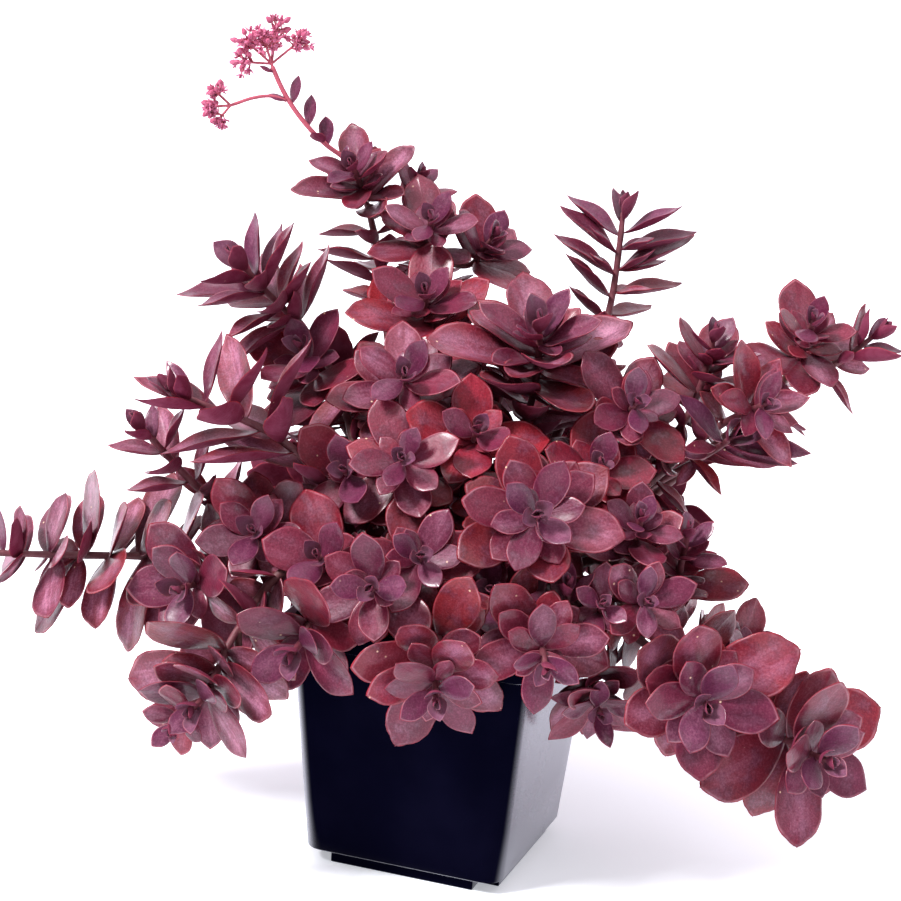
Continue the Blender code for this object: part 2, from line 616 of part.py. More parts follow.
def keep_one_body(body):
    """Drops the loose scraps and the sealed hollows that joining leaves, and keeps the largest skin."""
    work = bmesh.new()
    work.from_mesh(body.data)
    waiting = set(work.faces)
    skins = []
    while waiting:
        skin = {waiting.pop()}
        edge = set(skin)
        while edge:
            edge = {near for face in edge for line in face.edges for near in line.link_faces} - skin
            skin |= edge
        waiting -= skin
        skins.append(skin)
    largest = max(skins, key=len)
    loose = [face for skin in skins if skin is not largest for face in skin]
    bmesh.ops.delete(work, geom=loose, context="FACES")
    work.to_mesh(body.data)
    work.free()


def add_square_block(work, low, high, width_low, width_high, corner):
    """A square block that may taper, with its upright edges rounded."""
    cube = bmesh.ops.create_cube(work, size=2)
    edges = {edge for point in cube["verts"] for edge in point.link_edges}
    upright = [edge for edge in edges if edge.verts[0].co.z * edge.verts[1].co.z < 0]
    for point in cube["verts"]:
        half = (width_high if point.co.z > 0 else width_low) / 2
        point.co = Vector((point.co.x * half, point.co.y * half, high if point.co.z > 0 else low))
    bmesh.ops.bevel(
        work, geom=upright, offset=corner, affect="EDGES", segments=CORNER_SIDES, profile=0.5, material=-1
    )


def pot_width(height):
    """The pot's outer width at a height."""
    share = (height - FOOT_HEIGHT) / (POT_HEIGHT - FOOT_HEIGHT)
    return POT_BASE_WIDTH + (POT_TOP_WIDTH - POT_BASE_WIDTH) * share


def build_pot(collection):
    """A tapered square shell with a broad rim, on a foot like a plus sign, drained at its corners."""
    shell = mesh_from(
        lambda work: add_square_block(
            work, FOOT_HEIGHT, POT_HEIGHT, POT_BASE_WIDTH, POT_TOP_WIDTH, POT_CORNER
        )
    )
    pot = new_object("pot", shell, collection)
    added = new_collection("pot additions")
    rim = mesh_from(
        lambda work: add_square_block(
            work, POT_HEIGHT - RIM_DEPTH, POT_HEIGHT, RIM_WIDTH, RIM_WIDTH, POT_CORNER
        )
    )
    new_object("rim", rim, added)
    for x, y in ((FOOT_WIDTH, FOOT_WIDTH - 2 * FOOT_NOTCH), (FOOT_WIDTH - 2 * FOOT_NOTCH, FOOT_WIDTH)):
        size = Matrix.Diagonal((x, y, FOOT_HEIGHT + FLOOR_THICKNESS / 2, 1))
        place = Matrix.Translation((0, 0, (FOOT_HEIGHT + FLOOR_THICKNESS / 2) / 2))
        bar = mesh_from(lambda work: bmesh.ops.create_cube(work, size=1, matrix=place @ size))
        new_object("foot", bar, added)
    combine(pot, added, "UNION")
    cut = new_collection("pot hollows")
    floor = FOOT_HEIGHT + FLOOR_THICKNESS
    inside = 2 * POT_WALL
    brim = POT_HEIGHT + FLOOR_THICKNESS
    hollow = mesh_from(
        lambda work: add_square_block(
            work, floor, brim, pot_width(floor) - inside, pot_width(brim) - inside, POT_CORNER - POT_WALL
        )
    )
    new_object("hollow", hollow, cut)
    for x in (-DRAIN_REACH, DRAIN_REACH):
        for y in (-DRAIN_REACH, DRAIN_REACH):
            place = Matrix.Translation((x, y, floor))
            drain = mesh_from(
                lambda work: bmesh.ops.create_cone(
                    work,
                    cap_ends=True,
                    segments=DRAIN_SIDES,
                    radius1=DRAIN_RADIUS,
                    radius2=DRAIN_RADIUS,
                    depth=4 * FLOOR_THICKNESS,
                    matrix=place,
                )
            )
            new_object("drain", drain, cut)
    combine(pot, cut, "DIFFERENCE")
    pot.data.materials.clear()
    pot.data.materials.append(new_material("pot"))
    return pot


def build_soil(collection, paths):
    """The filled inside of the pot, low-crowned, with a plain hole for each stem that roots in it."""
    low = FOOT_HEIGHT + FLOOR_THICKNESS + GAP
    inside = 2 * (POT_WALL + GAP)

    def fill(work):
        corner = POT_CORNER - POT_WALL - GAP
        add_square_block(work, low, SOIL_TOP, pot_width(low) - inside, pot_width(SOIL_TOP) - inside, corner)
        work.normal_update()
        top = [face for face in work.faces if face.normal.z > 0.9]
        bmesh.ops.inset_region(work, faces=top, thickness=SOIL_CROWN_MARGIN, depth=0)
        middle = {point for face in top for point in face.verts}
        for point in middle:
            point.co.z += SOIL_CROWN

    soil = new_object("soil", mesh_from(fill), collection)
    holes = new_collection("stem holes")
    radius = (STEM_ROOT_RADIUS + GAP) / math.cos(math.pi / HOLE_SIDES)
    for shoot in SHOOTS:
        if shoot.parent:
            continue
        root = paths[shoot.name][0]
        bottom = root.z - GAP
        depth = COLLAR - bottom
        place = Matrix.Translation((root.x, root.y, bottom + depth / 2))
        hole = mesh_from(
            lambda work: bmesh.ops.create_cone(
                work,
                cap_ends=True,
                segments=HOLE_SIDES,
                radius1=radius,
                radius2=radius,
                depth=depth,
                matrix=place,
            )
        )
        new_object("hole", hole, holes)
    combine(soil, holes, "DIFFERENCE")
    soil.data.materials.clear()
    soil.data.materials.append(new_material("soil"))
    return soil


def add_tube(name, path, radii, collection):
    """A closed tube of four sides along a path, thinner or thicker from point to point."""
    curve = bpy.data.curves.new(name, "CURVE")
    curve.dimensions = "3D"
    curve.bevel_depth = 1
    curve.bevel_resolution = 0
    curve.use_fill_caps = True
    spline = curve.splines.new("POLY")
    spline.points.add(len(path) - 1)
    for point, place, radius in zip(spline.points, path, radii):
        point.co = (*place, 1)
        point.radius = radius
    line = bpy.data.objects.new(name, curve)
    collection.objects.link(line)
    evaluated = line.evaluated_get(bpy.context.evaluated_depsgraph_get())
    mesh = bpy.data.meshes.new_from_object(evaluated)
    bpy.data.objects.remove(line)
    work = bmesh.new()
    work.from_mesh(mesh)
    bmesh.ops.remove_doubles(work, verts=work.verts, dist=1e-6)
    work.to_mesh(mesh)
    work.free()
    return new_object(name, mesh, collection)


def stalk_path(paths):
    """The flower stalk, from the stem that carries it to its main head."""
    start = paths[STALK_OF][STALK_FROM]
    return [start, *bezier([seen(place) for place in STALK], STALK_POINTS)]


def bracts(path):
    """The small leaves along the flower stalk."""
    whole = path_length(path)
    for share, turn, size in STALK_BRACTS:
        base, ahead, zero = station(path, whole * (1 - share))
        outward = Quaternion(ahead, math.radians(turn)) @ zero
        along = (ahead * BRACT_LEAN + outward).normalized()
        face = face_light(base, along, (ahead - outward * BRACT_LEAN).normalized(), BRACT_FACES)
        length = size * MM
        shape = (length, length * BRACT_WIDTH, BRACT_BEND, BRACT_CUP, BRACT_THICKNESS)
        yield Leaf(STALK_OF, FIRST_PAIR, base, along, face, *shape)


def build_plant(shoot, paths, leaves, collection, material):
    """One rooted stem with its branches, leaves and flower stalk, joined in one solid."""
    family = [other for other in SHOOTS if shoot.name in (other.name, other.parent)]
    pieces = new_collection(shoot.name + " pieces")
    body = None
    for member in family:
        path, radii = stem_outline(paths[member.name])
        if member is shoot:
            body = add_tube("shoot_" + shoot.name, path, radii, collection)
        else:
            add_tube(member.name, path, [radius * BRANCH_SHARE for radius in radii], pieces)
    blades = [leaf for leaf in leaves if leaf.shoot in {member.name for member in family}]
    if shoot.name == STALK_OF:
        stalk = stalk_path(paths)
        add_tube("stalk", stalk, [STALK_RADIUS] * len(stalk), pieces)
        side = bezier([seen(place) for place in SIDE_STALK], SIDE_STALK_POINTS)
        add_tube("side stalk", side, [SIDE_STALK_RADIUS] * len(side), pieces)
        blades.extend(bracts(stalk))
    for leaf in blades:
        new_object("leaf", mesh_from(lambda work: add_blade(work, leaf)), pieces)
    combine(body, pieces, "UNION")
    keep_one_body(body)
    body.data.materials.clear()
    body.data.materials.append(material)
    return body


def add_floret(work, knot, place, petals):
    """A floret on its stalk: a ball of two fans, its far pole the flower and its near one the stalk's foot.

    With petals its equator is a star of five, and without them it is a closed bud.
    """
    sides = 10 if petals else 5
    ball = bmesh.ops.create_uvsphere(work, u_segments=sides, v_segments=2, radius=1)
    outward = (place - knot).normalized()
    turned = outward.to_track_quat("Z", "Y")
    for corner in ball["verts"]:
        if corner.co.z > 0.5:
            corner.co = place + outward * (STAR_HEART if petals else CLOSED_TIP)
        elif corner.co.z < -0.5:
            corner.co = knot
        else:
            step = round(math.atan2(corner.co.y, corner.co.x) / (math.pi / 5))
            reach = CLOSED_RADIUS
            if petals:
                reach = STAR_RADIUS * (STAR_VALLEY if step % 2 else 1)
            corner.co = place + turned @ Vector((corner.co.x * reach, corner.co.y * reach, 0))


def around(axis, tilt, turn):
    """A direction tilted off an axis, and turned round it."""
    side = axis.orthogonal().normalized()
    return Quaternion(axis, turn) @ (Quaternion(side, tilt) @ axis)


def build_head(head, collection, material):
    """A loose flower head: sprays from one point, each with its open florets and its buds."""
    chance = random.Random(head.name)
    pieces = new_collection(head.name + " pieces")
    axis = direction(head.looks)
    base = seen(head.base)
    body = add_tube(head.name, [base, base + axis * HEAD_FOOT], [RAY_RADIUS * RAY_SWELL] * 2, collection)
    centre = base + axis * HEAD_FOOT / 2
    for i, (right, up, toward, length) in enumerate(head.sprays):
        spray = direction((right, up, toward))
        knot = centre + spray * length * MM
        past = knot + spray * RAY_RADIUS
        add_tube("ray", [centre, past], [RAY_RADIUS * RAY_SWELL, RAY_RADIUS], pieces)
        for k in range(head.stars + head.buds):
            outward = around(spray, math.radians(chance.uniform(*FLORET_TILT)), GOLDEN_TURN * (k + i))
            end = knot + outward * head.reach * MM * chance.uniform(*FLORET_SPREAD)
            foot = knot - outward * RAY_RADIUS * FLORET_ROOT
            floret = mesh_from(lambda work: add_floret(work, foot, end, k < head.stars))
            new_object("floret", floret, pieces)
    combine(body, pieces, "UNION")
    keep_one_body(body)
    body.data.materials.clear()
    body.data.materials.append(material)
    return body


def main():
    for old in list(bpy.data.objects):
        bpy.data.objects.remove(old)
    collection = new_collection("potted sedum")
    paths = part_stems(first_paths())
    pot = build_pot(collection)
    soil = build_soil(collection, paths)
    scene = bpy.context.evaluated_depsgraph_get()
    leaves = grow(paths, [BVHTree.FromObject(still, scene) for still in (pot, soil)])
    leaf_material = new_material("leaf")
    for shoot in SHOOTS:
        if not shoot.parent:
            build_plant(shoot, paths, leaves, collection, leaf_material)
    bloom_material = new_material("bloom")
    for head in HEADS:
        build_head(head, collection, bloom_material)


main()
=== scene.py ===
"""A purple-leaved stonecrop spilling over a square nursery pot, dressed for its picture.

The shoots are laid out and grown by the same rule as the solids that they replace.
Each stem is then drawn round, and each leaf is shaped as a thick, cupped blade with a soft rim.
"""

import json
import math
import random
from collections import namedtuple

import bmesh
import bpy
import numpy as np
from mathutils import Matrix, Quaternion, Vector, noise
from mathutils.bvhtree import BVHTree

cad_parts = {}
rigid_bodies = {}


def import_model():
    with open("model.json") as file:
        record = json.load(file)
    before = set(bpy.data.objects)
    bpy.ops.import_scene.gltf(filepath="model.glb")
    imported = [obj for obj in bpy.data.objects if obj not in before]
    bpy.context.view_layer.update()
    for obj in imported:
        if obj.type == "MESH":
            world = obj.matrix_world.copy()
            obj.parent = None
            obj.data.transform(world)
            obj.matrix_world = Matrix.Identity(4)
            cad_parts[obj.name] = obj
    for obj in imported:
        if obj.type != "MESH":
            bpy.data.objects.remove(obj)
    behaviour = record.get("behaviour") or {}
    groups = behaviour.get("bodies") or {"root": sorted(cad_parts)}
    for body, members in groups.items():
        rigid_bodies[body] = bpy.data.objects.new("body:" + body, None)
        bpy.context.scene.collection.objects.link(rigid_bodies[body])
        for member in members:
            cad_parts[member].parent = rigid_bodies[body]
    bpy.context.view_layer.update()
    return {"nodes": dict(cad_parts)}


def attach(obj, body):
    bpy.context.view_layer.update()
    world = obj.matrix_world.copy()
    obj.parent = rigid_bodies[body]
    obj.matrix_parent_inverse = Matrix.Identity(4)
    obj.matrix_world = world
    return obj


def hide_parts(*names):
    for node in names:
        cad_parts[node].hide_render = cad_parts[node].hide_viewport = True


MM = 0.001
GAP = 0.35 * MM

# The pot: a square nursery pot with a broad rim and a foot notched at its corners.
POT_HEIGHT = 100 * MM
POT_BASE_WIDTH = 80 * MM
POT_TOP_WIDTH = 96 * MM
POT_CORNER = 8 * MM
POT_WALL = 1.6 * MM
RIM_WIDTH = 102 * MM
RIM_DEPTH = 9 * MM
FOOT_HEIGHT = 5 * MM
FOOT_WIDTH = 74 * MM
FOOT_NOTCH = 8 * MM
FLOOR_THICKNESS = 1.8 * MM
DRAIN_RADIUS = 3.5 * MM
DRAIN_REACH = 29 * MM

# The soil fills the pot to a little below the rim, and each stem stands in a hole of its own.
SOIL_TOP = 87 * MM
SOIL_CROWN = 2 * MM
ROOT_DEPTH = 12 * MM
ROOT_SPACING = 8.4 * MM
ROOT_FIELD = 37 * MM
ROOT_LEAN = 0.3
ROOT_STEPS = 600
COLLAR = SOIL_TOP + SOIL_CROWN + 1.5 * MM

# Where one stands to see the plant as it is laid out below.
VIEW_AZIMUTH = math.radians(18.9)
VIEW_ELEVATION = math.radians(16.4)
VIEW_ROLL = math.radians(3.5)
VIEW_DISTANCE = 1137 * MM
VIEW_CENTRE = Vector((-3, 0, 160)) * MM
RIM_CENTRE = Vector((0, 0, POT_HEIGHT))

# Stems, each thinner from its root to the bud that it ends in.
STEM_LEAN = 0.12
STEM_ROOT_RADIUS = 2.2 * MM
STEM_TIP_RADIUS = 1.1 * MM
BUD_LENGTH = 7 * MM
STEM_POINTS = 24
TREE_SIDES = 6
# Which of a stem's points its tube keeps, how freely each may move, and the one where a branch leaves.
STEM_STATIONS = (0, 1, 5, 10, 16, 21, 23)
STATION_FREEDOM = (0, 0, 1, 1, 0.8, 0.3, 0)
BRANCH_STATION = 4
# The last points of a stem run straight, for so many of its leaf gaps. A branch is thinner by a share.
NECK_POINTS = 4
STRAIGHT = 2.6
BRANCH_SHARE = 0.75
# Stems are parted in small steps, by samples along each of their straight lengths.
STEM_CLEARANCE = 6 * MM
LENGTH_SAMPLES = 5
PARTING_STEPS = 40
PARTING_SHARE = 0.3
PARTING_LIMIT = 3
RIM_CLEARANCE = 6 * MM
RIM_INSIDE = 9 * MM
RIM_OUTSIDE = 4 * MM
# Leaves, and how far they stay from the plant, the pot, the soil and the floor.
LEAF_THICKNESS = 2.0 * MM
LEAF_CLEARANCE = 0.35 * MM
FLOOR_CLEARANCE = 3 * MM

# A shoot's tip lies so far right and up of the rim's centre, and toward the viewer, in mm. It looks along
# (right, up, toward). Its leaves grow up to a length in mm and a width as a share of it, in so many pairs,
# so far apart. Turn is where the first leaf points, in degrees from the right, and open is how far the
# oldest leaves stand off the stem. The stem rises and then runs so far in its two bends. Its leaves turn
# their faces to the light by a share of faces, and stand up toward the sky by one of sky. Each pair is
# turned from the last by twist degrees, and the youngest have a share of the full length.
Shoot = namedtuple(
    "Shoot",
    "name seen looks leaf broad pairs gap turn open rise run faces parent sky twist youngest",
    defaults=(45, 30, 0.7, None, 0, 108, 0.16),
)
SHOOT_ROWS = [
    ("heart", (34, 33, 64), (0.0, 0.12, 1.0), 36, 0.53, 7, 5.5, 280, 88),
    ("front_low", (-5, -37, 78), (0.0, -0.35, 0.95), 36, 0.50, 7, 6.5, 350, 84, 45, 25),
    ("front_low_right", (37, -25, 72), (0.1, -0.2, 1.0), 31, 0.50, 6, 5.5, 300, 86, 45, 25),
    ("right_low", (99, -40, 62), (0.1, -0.15, 1.0), 39, 0.56, 7, 6, 200, 86, 45, 35),
    ("right_lowest", (145, -61, 50), (0.4, -0.1, 0.9), 38, 0.58, 7, 7, 195, 84, 58, 40),
    ("left_low", (-98, -41, 58), (-0.35, -0.35, 0.9), 37, 0.54, 7, 6.5, 10, 82, 50, 35),
    ("left_low_twin", (-106, -49, 56), (-0.3, -0.5, 0.8), 24, 0.55, 3, 4, 20, 80, 8, 8, 0.5, "left_low"),
    ("left_rim", (-60, -20, 56), (-0.3, -0.2, 1.0), 42, 0.58, 5, 7.5, 0, 84, 50, 30),
    ("left_inner", (-103, 5, 34), (-0.4, -0.1, 0.9), 37, 0.60, 7, 7, 50, 82, 40, 35),
    ("left_shoulder", (-75, 27, 28), (-0.1, 0.25, 0.95), 34, 0.55, 7, 6, 40, 85, 40, 35),
    ("front_left", (-30, 5, 68), (-0.1, 0.05, 1.0), 32, 0.54, 6, 6, 310, 86),
    ("front_middle", (-11, 17, 60), (0.05, 0.2, 1.0), 31, 0.54, 6, 6, 275, 86, 40, 25),
    ("mid_front", (16, 4, 46), (0.0, 0.25, 1.0), 36, 0.62, 5, 7, 60, 84, 35, 25),
    ("brow_left", (-18, 55, 44), (0.0, 0.2, 1.0), 31, 0.54, 6, 5.5, 40, 86),
    ("crown_left", (-17, 87, 24), (0.05, 0.35, 0.95), 33, 0.52, 7, 5.5, 10, 84, 50, 35),
    ("crown_right", (35, 105, 12), (0.0, 0.7, 0.7), 44, 0.46, 8, 5.5, 20, 74, 50, 35, 0.4),
    ("brow_right", (72, 76, 22), (0.15, 0.25, 0.95), 31, 0.54, 6, 5.5, 60, 86, 50, 35),
    ("tower_low", (-9, 118, -12), (0.0, 0.5, 0.85), 35, 0.56, 7, 5.5, 10, 78, 60, 35),
    ("tower_mid", (-7, 147, -28), (0.0, 0.45, 0.9), 30, 0.52, 6, 5.5, 25, 78, 70, 35),
    ("tower_side", (17, 140, -42), (0.4, 0.5, 0.6), 30, 0.60, 5, 5.5, 40, 76, 15, 15, 0.7, "tower_mid"),
    ("tower_top", (-37, 167, -40), (-0.2, 0.4, 0.9), 31, 0.46, 7, 5.5, 15, 74, 70, 35),
    ("tower_back", (-11, 163, -58), (0.4, 0.7, 0.3), 25, 0.54, 4, 5, 20, 66, 15, 15, 0.5, "tower_top"),
    ("spire_right", (67, 149, -40), (0.1, 1, 0.15), 32, 0.38, 6, 9, 305, 76, 60, 45, 1.3, None, 0, 17, 0.6),
    ("spire_left", (-80, 130, -15), (-0.6, 0.7, 0.4), 36, 0.38, 6, 9, 20, 72, 50, 50, 0.4, None, 0, 108, 0.45),
    ("reach_left", (-106, 80, 26), (-0.9, 0.35, 0.25), 42, 0.34, 10, 8, 90, 68, 35, 60, 0, None, 0.9),
    ("reach_left_low", (-119, 68, 12), (-0.5, 0.6, 0.4), 32, 0.42, 5, 9, 30, 70, 35, 50, 0.2, None, 0.3),
    ("trail_left", (-183, 19, 0), (-1.0, 0.05, 0.15), 36, 0.56, 9, 11.5, 45, 98, 40, 80, 2.4, None, 0.25),
    ("shoulder_left", (-57, 97, -14), (-0.3, 0.45, 0.8), 36, 0.60, 6, 7, 75, 80, 45, 35),
    ("mid_left", (-40, 50, 28), (-0.15, 0.2, 1.0), 34, 0.62, 5, 6.5, 75, 84, 40, 30),
    ("mid_low_left", (-50, 17, 44), (-0.2, 0.3, 0.9), 36, 0.64, 5, 7, 20, 80, 40, 30),
    ("mid_red", (11, 66, 32), (0.1, 0.35, 0.9), 34, 0.62, 5, 6.5, 120, 82, 45, 30),
    ("mid_right", (58, 52, 30), (0.15, 0.35, 0.9), 34, 0.60, 5, 7, 30, 80, 45, 30),
    ("inner_right", (76, 0, 57), (0.15, 0.1, 0.95), 28, 0.50, 5, 5.5, 55, 84, 40, 30),
    ("low_dark", (58, -43, 46), (0.1, -0.2, 1.0), 30, 0.44, 6, 6, 60, 84, 40, 30),
    ("right_behind", (121, -21, 8), (0.5, 0.1, 0.7), 27, 0.60, 5, 6, 10, 84, 40, 40),
    ("shoulder_right", (122, 76, 25), (0.25, 0.15, 0.95), 31, 0.44, 5, 7, 40, 84, 45, 40, 0.5),
    ("right_blades", (109, 63, 8), (0.4, 0.3, 0.9), 38, 0.28, 3, 7, 312, 84, 45, 40, 0.3, None, 0, 12, 0.5),
    ("rise_right", (102, 102, 5), (0.15, 0.8, 0.45), 31, 0.54, 6, 7, 10, 72, 45, 40, 0.5),
    ("far_right", (140, 108, -10), (0.05, 0.5, 0.8), 30, 0.56, 6, 7, 30, 78, 40, 45, 0.5),
    ("far_right_tip", (166, 104, -20), (0.75, 0.6, 0.1), 26, 0.36, 5, 6, 60, 62, 15, 15, 0.2, "far_right"),
    ("right_small", (92, 27, 22), (0.1, 0.7, 0.6), 28, 0.54, 6, 8, 0, 80, 35, 35),
    ("right_tuft", (74, 32, 40), (0.1, 0.6, 0.75), 26, 0.54, 6, 5, 20, 72, 40, 30, 0.4),
    ("low_tuft", (59, -1, 57), (0.05, 0.3, 0.9), 24, 0.54, 4, 5, 110, 80, 15, 15, 0.4, "inner_right"),
    ("narrow_tuft", (46, 6, 52), (0.0, 0.8, 0.5), 24, 0.40, 4, 5, 40, 60, 15, 15, 0.2, "right_tuft"),
    ("back_top", (-8, 92, -92), (0.0, 0.5, -0.9), 36, 0.60, 5, 6.5, 30, 82, 50, 35),
    ("back_mid_left", (-38, 38, -72), (-0.3, 0.3, -0.9), 38, 0.62, 5, 6.5, 60, 82, 45, 30),
    ("back_mid_right", (30, 42, -78), (0.2, 0.3, -0.95), 38, 0.62, 5, 6.5, 15, 82, 45, 30),
    ("back_high_left", (-44, 92, -58), (-0.3, 0.6, -0.7), 34, 0.58, 6, 6.5, 10, 82, 50, 35),
    ("back_high_right", (25, 95, -75), (0.2, 0.6, -0.8), 34, 0.58, 5, 6.5, 40, 82, 50, 35),
    ("back_left", (-62, 48, -80), (-0.5, 0.3, -0.85), 36, 0.60, 5, 6.5, 70, 84, 45, 35),
    ("back_middle", (-10, 58, -108), (0.0, 0.3, -1.0), 36, 0.60, 5, 6.5, 20, 84, 45, 35),
    ("back_right", (50, 58, -98), (0.3, 0.25, -1.0), 36, 0.60, 5, 6.5, 50, 84, 45, 35),
    ("back_low_left", (-45, 8, -104), (-0.25, -0.15, -1.0), 36, 0.60, 5, 7, 35, 84, 50, 35),
    ("back_low_right", (20, 6, -112), (0.1, -0.2, -1.0), 36, 0.60, 5, 7, 65, 84, 50, 35),
    ("back_far_right", (88, 30, -70), (0.8, 0.1, -0.7), 36, 0.60, 5, 7, 35, 84, 45, 35),
]
SHOOTS = [Shoot(*row) for row in SHOOT_ROWS]

# How a shoot opens from the tip, pair by pair: its leaves' length, angle from the stem and spacing.
LENGTH_STEP = 0.185
OPENS_IN = 1.7
OPENS_FROM = 0.35
FIRST_SPACING = 0.24
SPACING_STEP = 0.21
FIRST_BACK = 0.3
STAGGER = 0.22
LIGHT = Vector((0, -0.6, 0.65))
SKY = Vector((0, 0, 1))
LIGHT_FROM = Vector((0, 0, 60)) * MM
LIGHT_SPREAD = 0.25
FACES_STEP = 0.22
ANGLE_SPREAD = 9
TURN_SPREAD = 11
LENGTH_SPREAD = 0.1
# A leaf bends back along its length, in degrees, and is cupped across by a share of its half width.
YOUNG_BEND = 26
BEND_SPREAD = (-6, 16)
CUP_SPREAD = (0.10, 0.22)
YOUNG_THICKNESS = 0.6
# A blade whose bend is smaller than this is straight.
LEAST_BEND = 1e-4
# What a leaf tries, to come clear of its neighbours: lift and swing in degrees, and a share of its length.
TRIES = [
    (0, 0, 1), (-9, 0, 1), (9, 0, 1), (0, 11, 1), (0, -11, 1), (-18, 0, 0.97), (18, 0, 0.97),
    (-9, 18, 0.95), (-9, -18, 0.95), (9, 22, 0.95), (9, -22, 0.95), (-28, 0, 0.92), (28, 0, 0.92),
    (0, 30, 0.9), (0, -30, 0.9), (-20, 14, 0.82), (-20, -14, 0.82), (-36, 0, 0.8), (-12, 0, 0.7),
    (14, 0, 0.7), (-30, 20, 0.66), (-30, -20, 0.66),
]
Leaf = namedtuple("Leaf", "shoot pair base along face length width bend cup thickness")

# The youngest pair that stands off the bud; the ones before it are still folded in it.
FIRST_PAIR = 2
# The plain blade's edge, for testing room: shares of its length, with shares of its half width.
# A grown leaf has one blunt tooth on each side near its tip, with a notch after it.
TOOTHED_FROM = 5
TOOTHED_EDGE = [(0.50, 1.04), (0.84, 0.86), (0.90, 0.60)]
PLAIN_EDGE = [(0.47, 1.04), (0.83, 0.80)]
BLADE_MIDDLE = 0.36
LOW_POINTS = [(1, 0), (0.6, 1), (0.6, -1)]
# Leaves whose middles are farther apart than this share of their lengths can't meet.
NEAR_SHARE = 0.62

# The flower stalk on the tallest shoot, as the four handles of its curve, and the small leaves along it.
STALK_OF = "tower_top"
STALK_FROM = -2
STALK = [(-40, 170, -45), (-52, 178, -42), (-62, 190, -38), (-67.7, 205.2, -37)]
STALK_POINTS = 6
STALK_RADIUS = 1.0 * MM
STALK_BRACTS = [
    (0.14, 25, 6),
    (0.30, 20, 12),
    (0.34, 265, 10),
    (0.50, 15, 13),
    (0.70, 10, 12),
    (0.74, 190, 9),
    (0.96, 200, 7),
]
SIDE_STALK = [(-62.4, 192.4, -38), (-68, 195.5, -36), (-75, 194, -34), (-82.5, 191, -33)]
SIDE_STALK_POINTS = 4
SIDE_STALK_RADIUS = 0.7 * MM
BRACT_LEAN = 0.75
BRACT_WIDTH = 0.6
BRACT_FACES = 3
BRACT_BEND = 0.3
BRACT_CUP = 0.15
BRACT_THICKNESS = 1.4 * MM
# A head's sprays go from its base toward (right, up, toward the viewer), each so far in mm.
# On each stand so many open florets and buds, up to so far in mm from where they part.
Head = namedtuple("Head", "name base looks sprays stars buds reach")
MAIN_SPRAYS = [
    (0.15, 1.0, 0.1, 14.0),
    (-0.75, 0.65, 0.2, 12.5),
    (-1.0, 0.05, 0.1, 10.5),
    (0.8, 0.65, 0.0, 13.5),
    (-0.25, 0.85, 0.5, 10.0),
    (0.0, 0.7, -0.7, 11.0),
]
SIDE_SPRAYS = [(-0.7, 0.65, 0.1, 8.0), (-1.0, -0.1, 0.2, 7.0), (-0.6, -0.75, 0.1, 6.5)]
HEADS = [
    Head("bloom_main", (-67.85, 205.6, -37), (-0.2, 1.0, 0.0), MAIN_SPRAYS, 2, 2, 4.6),
    Head("bloom_side", (-82.9, 190.85, -33), (-1.0, -0.3, 0.0), SIDE_SPRAYS, 1, 2, 3.2),
]
HEAD_FOOT = 2 * MM
RAY_RADIUS = 0.55 * MM
RAY_SWELL = 1.25
FLORET_TILT = (20, 80)
FLORET_SPREAD = (0.75, 1.15)
GOLDEN_TURN = math.pi * (3 - math.sqrt(5))

# The picture: a long lens, a little above the pot, and a floor that reaches so far each way, in metres.
LENS = 119.87
FILM = 36
LENS_NEAR = 0.01
FLOOR_REACH = 6
# The studio: white behind the pot and dim in front of it, as leaves and plastic mirror it.
BACKDROP = Vector((-0.25, 0.9, 0.35))
BACKDROP_FROM = -0.5
DIM_LIGHT = 0.14
WHITE_LIGHT = 1.3
SKY_COLOUR = (1.0, 0.88, 0.97)
FLOOR_COLOUR = (0.88, 0.91, 0.96)
FLOOR_GLOW = 0.42
# Distant soft lamps: the way that each shines from, its strength and how many degrees wide it is.
LAMPS = {
    "key": ((-0.75, -0.85, 1.25), 4.8, 14),
    "top": ((0.1, -0.3, 1.0), 1.1, 60),
    "fill": ((1.2, -0.5, 0.6), 0.5, 80),
}

# The leaves' skin colours as it ages, what lies over and shines through it, and painted shade and highlights.
LEAF = {
    "young": (0.094, 0.016, 0.062),
    "grown": (0.112, 0.008, 0.027),
    "old": (0.122, 0.009, 0.013),
    "brick": (0.46, 0.007, 0.006),
    "dusk": (0.050, 0.006, 0.018),
    # painted shade: darker toward each leaf's root, where the leaves crowd the stem
    "root": (0.045, 0.006, 0.016),
    # the pale bloom, with a painted sheen over the middle of each leaf
    "wax": (0.47, 0.20, 0.31),
    "worn": (0.34, 0.14, 0.24),
    "dark grit": (0.040, 0.005, 0.013),
    "pale grit": (0.52, 0.25, 0.30),
    # a painted highlight just inside each leaf's rim
    "painted_rim_highlight": (0.56, 0.24, 0.29),
    "edge": (0.34, 0.014, 0.026),
    "heart": (0.28, 0.14, 0.18),
    "under": (0.135, 0.011, 0.036),
    "pale under": (0.185, 0.030, 0.065),
    "speck": (0.72, 0.50, 0.34),
    "gloss": (1.0, 0.80, 0.92),
    "coat": (1.0, 0.93, 0.97),
    "glow": (1.0, 0.25, 0.2),
}
STEM = {
    "low": (0.090, 0.030, 0.026),
    "high": (0.150, 0.028, 0.045),
    "scurf": (0.23, 0.085, 0.095),
    "ring": (0.05, 0.012, 0.016),
    "flowering": (0.42, 0.075, 0.115),
}
PETAL = {
    "throat": (0.67, 0.22, 0.35),
    "tip": (0.54, 0.14, 0.26),
    "bud": (0.48, 0.10, 0.19),
    "shade": (0.27, 0.025, 0.08),
}
PLASTIC = {
    "black": (0.0016, 0.0015, 0.0065),
    "cloud": (0.0030, 0.0028, 0.0100),
    "dust": (0.012, 0.012, 0.022),
    "mirror": (0.88, 0.88, 0.96),
}
SOIL = {"wet": (0.010, 0.006, 0.004), "dry": (0.060, 0.034, 0.020)}
# How far aslant the pot starts to mirror, from 0 face on to 1, and how strongly.
POT_GLOSS_FROM = 0.3
POT_GLOSS = 0.60

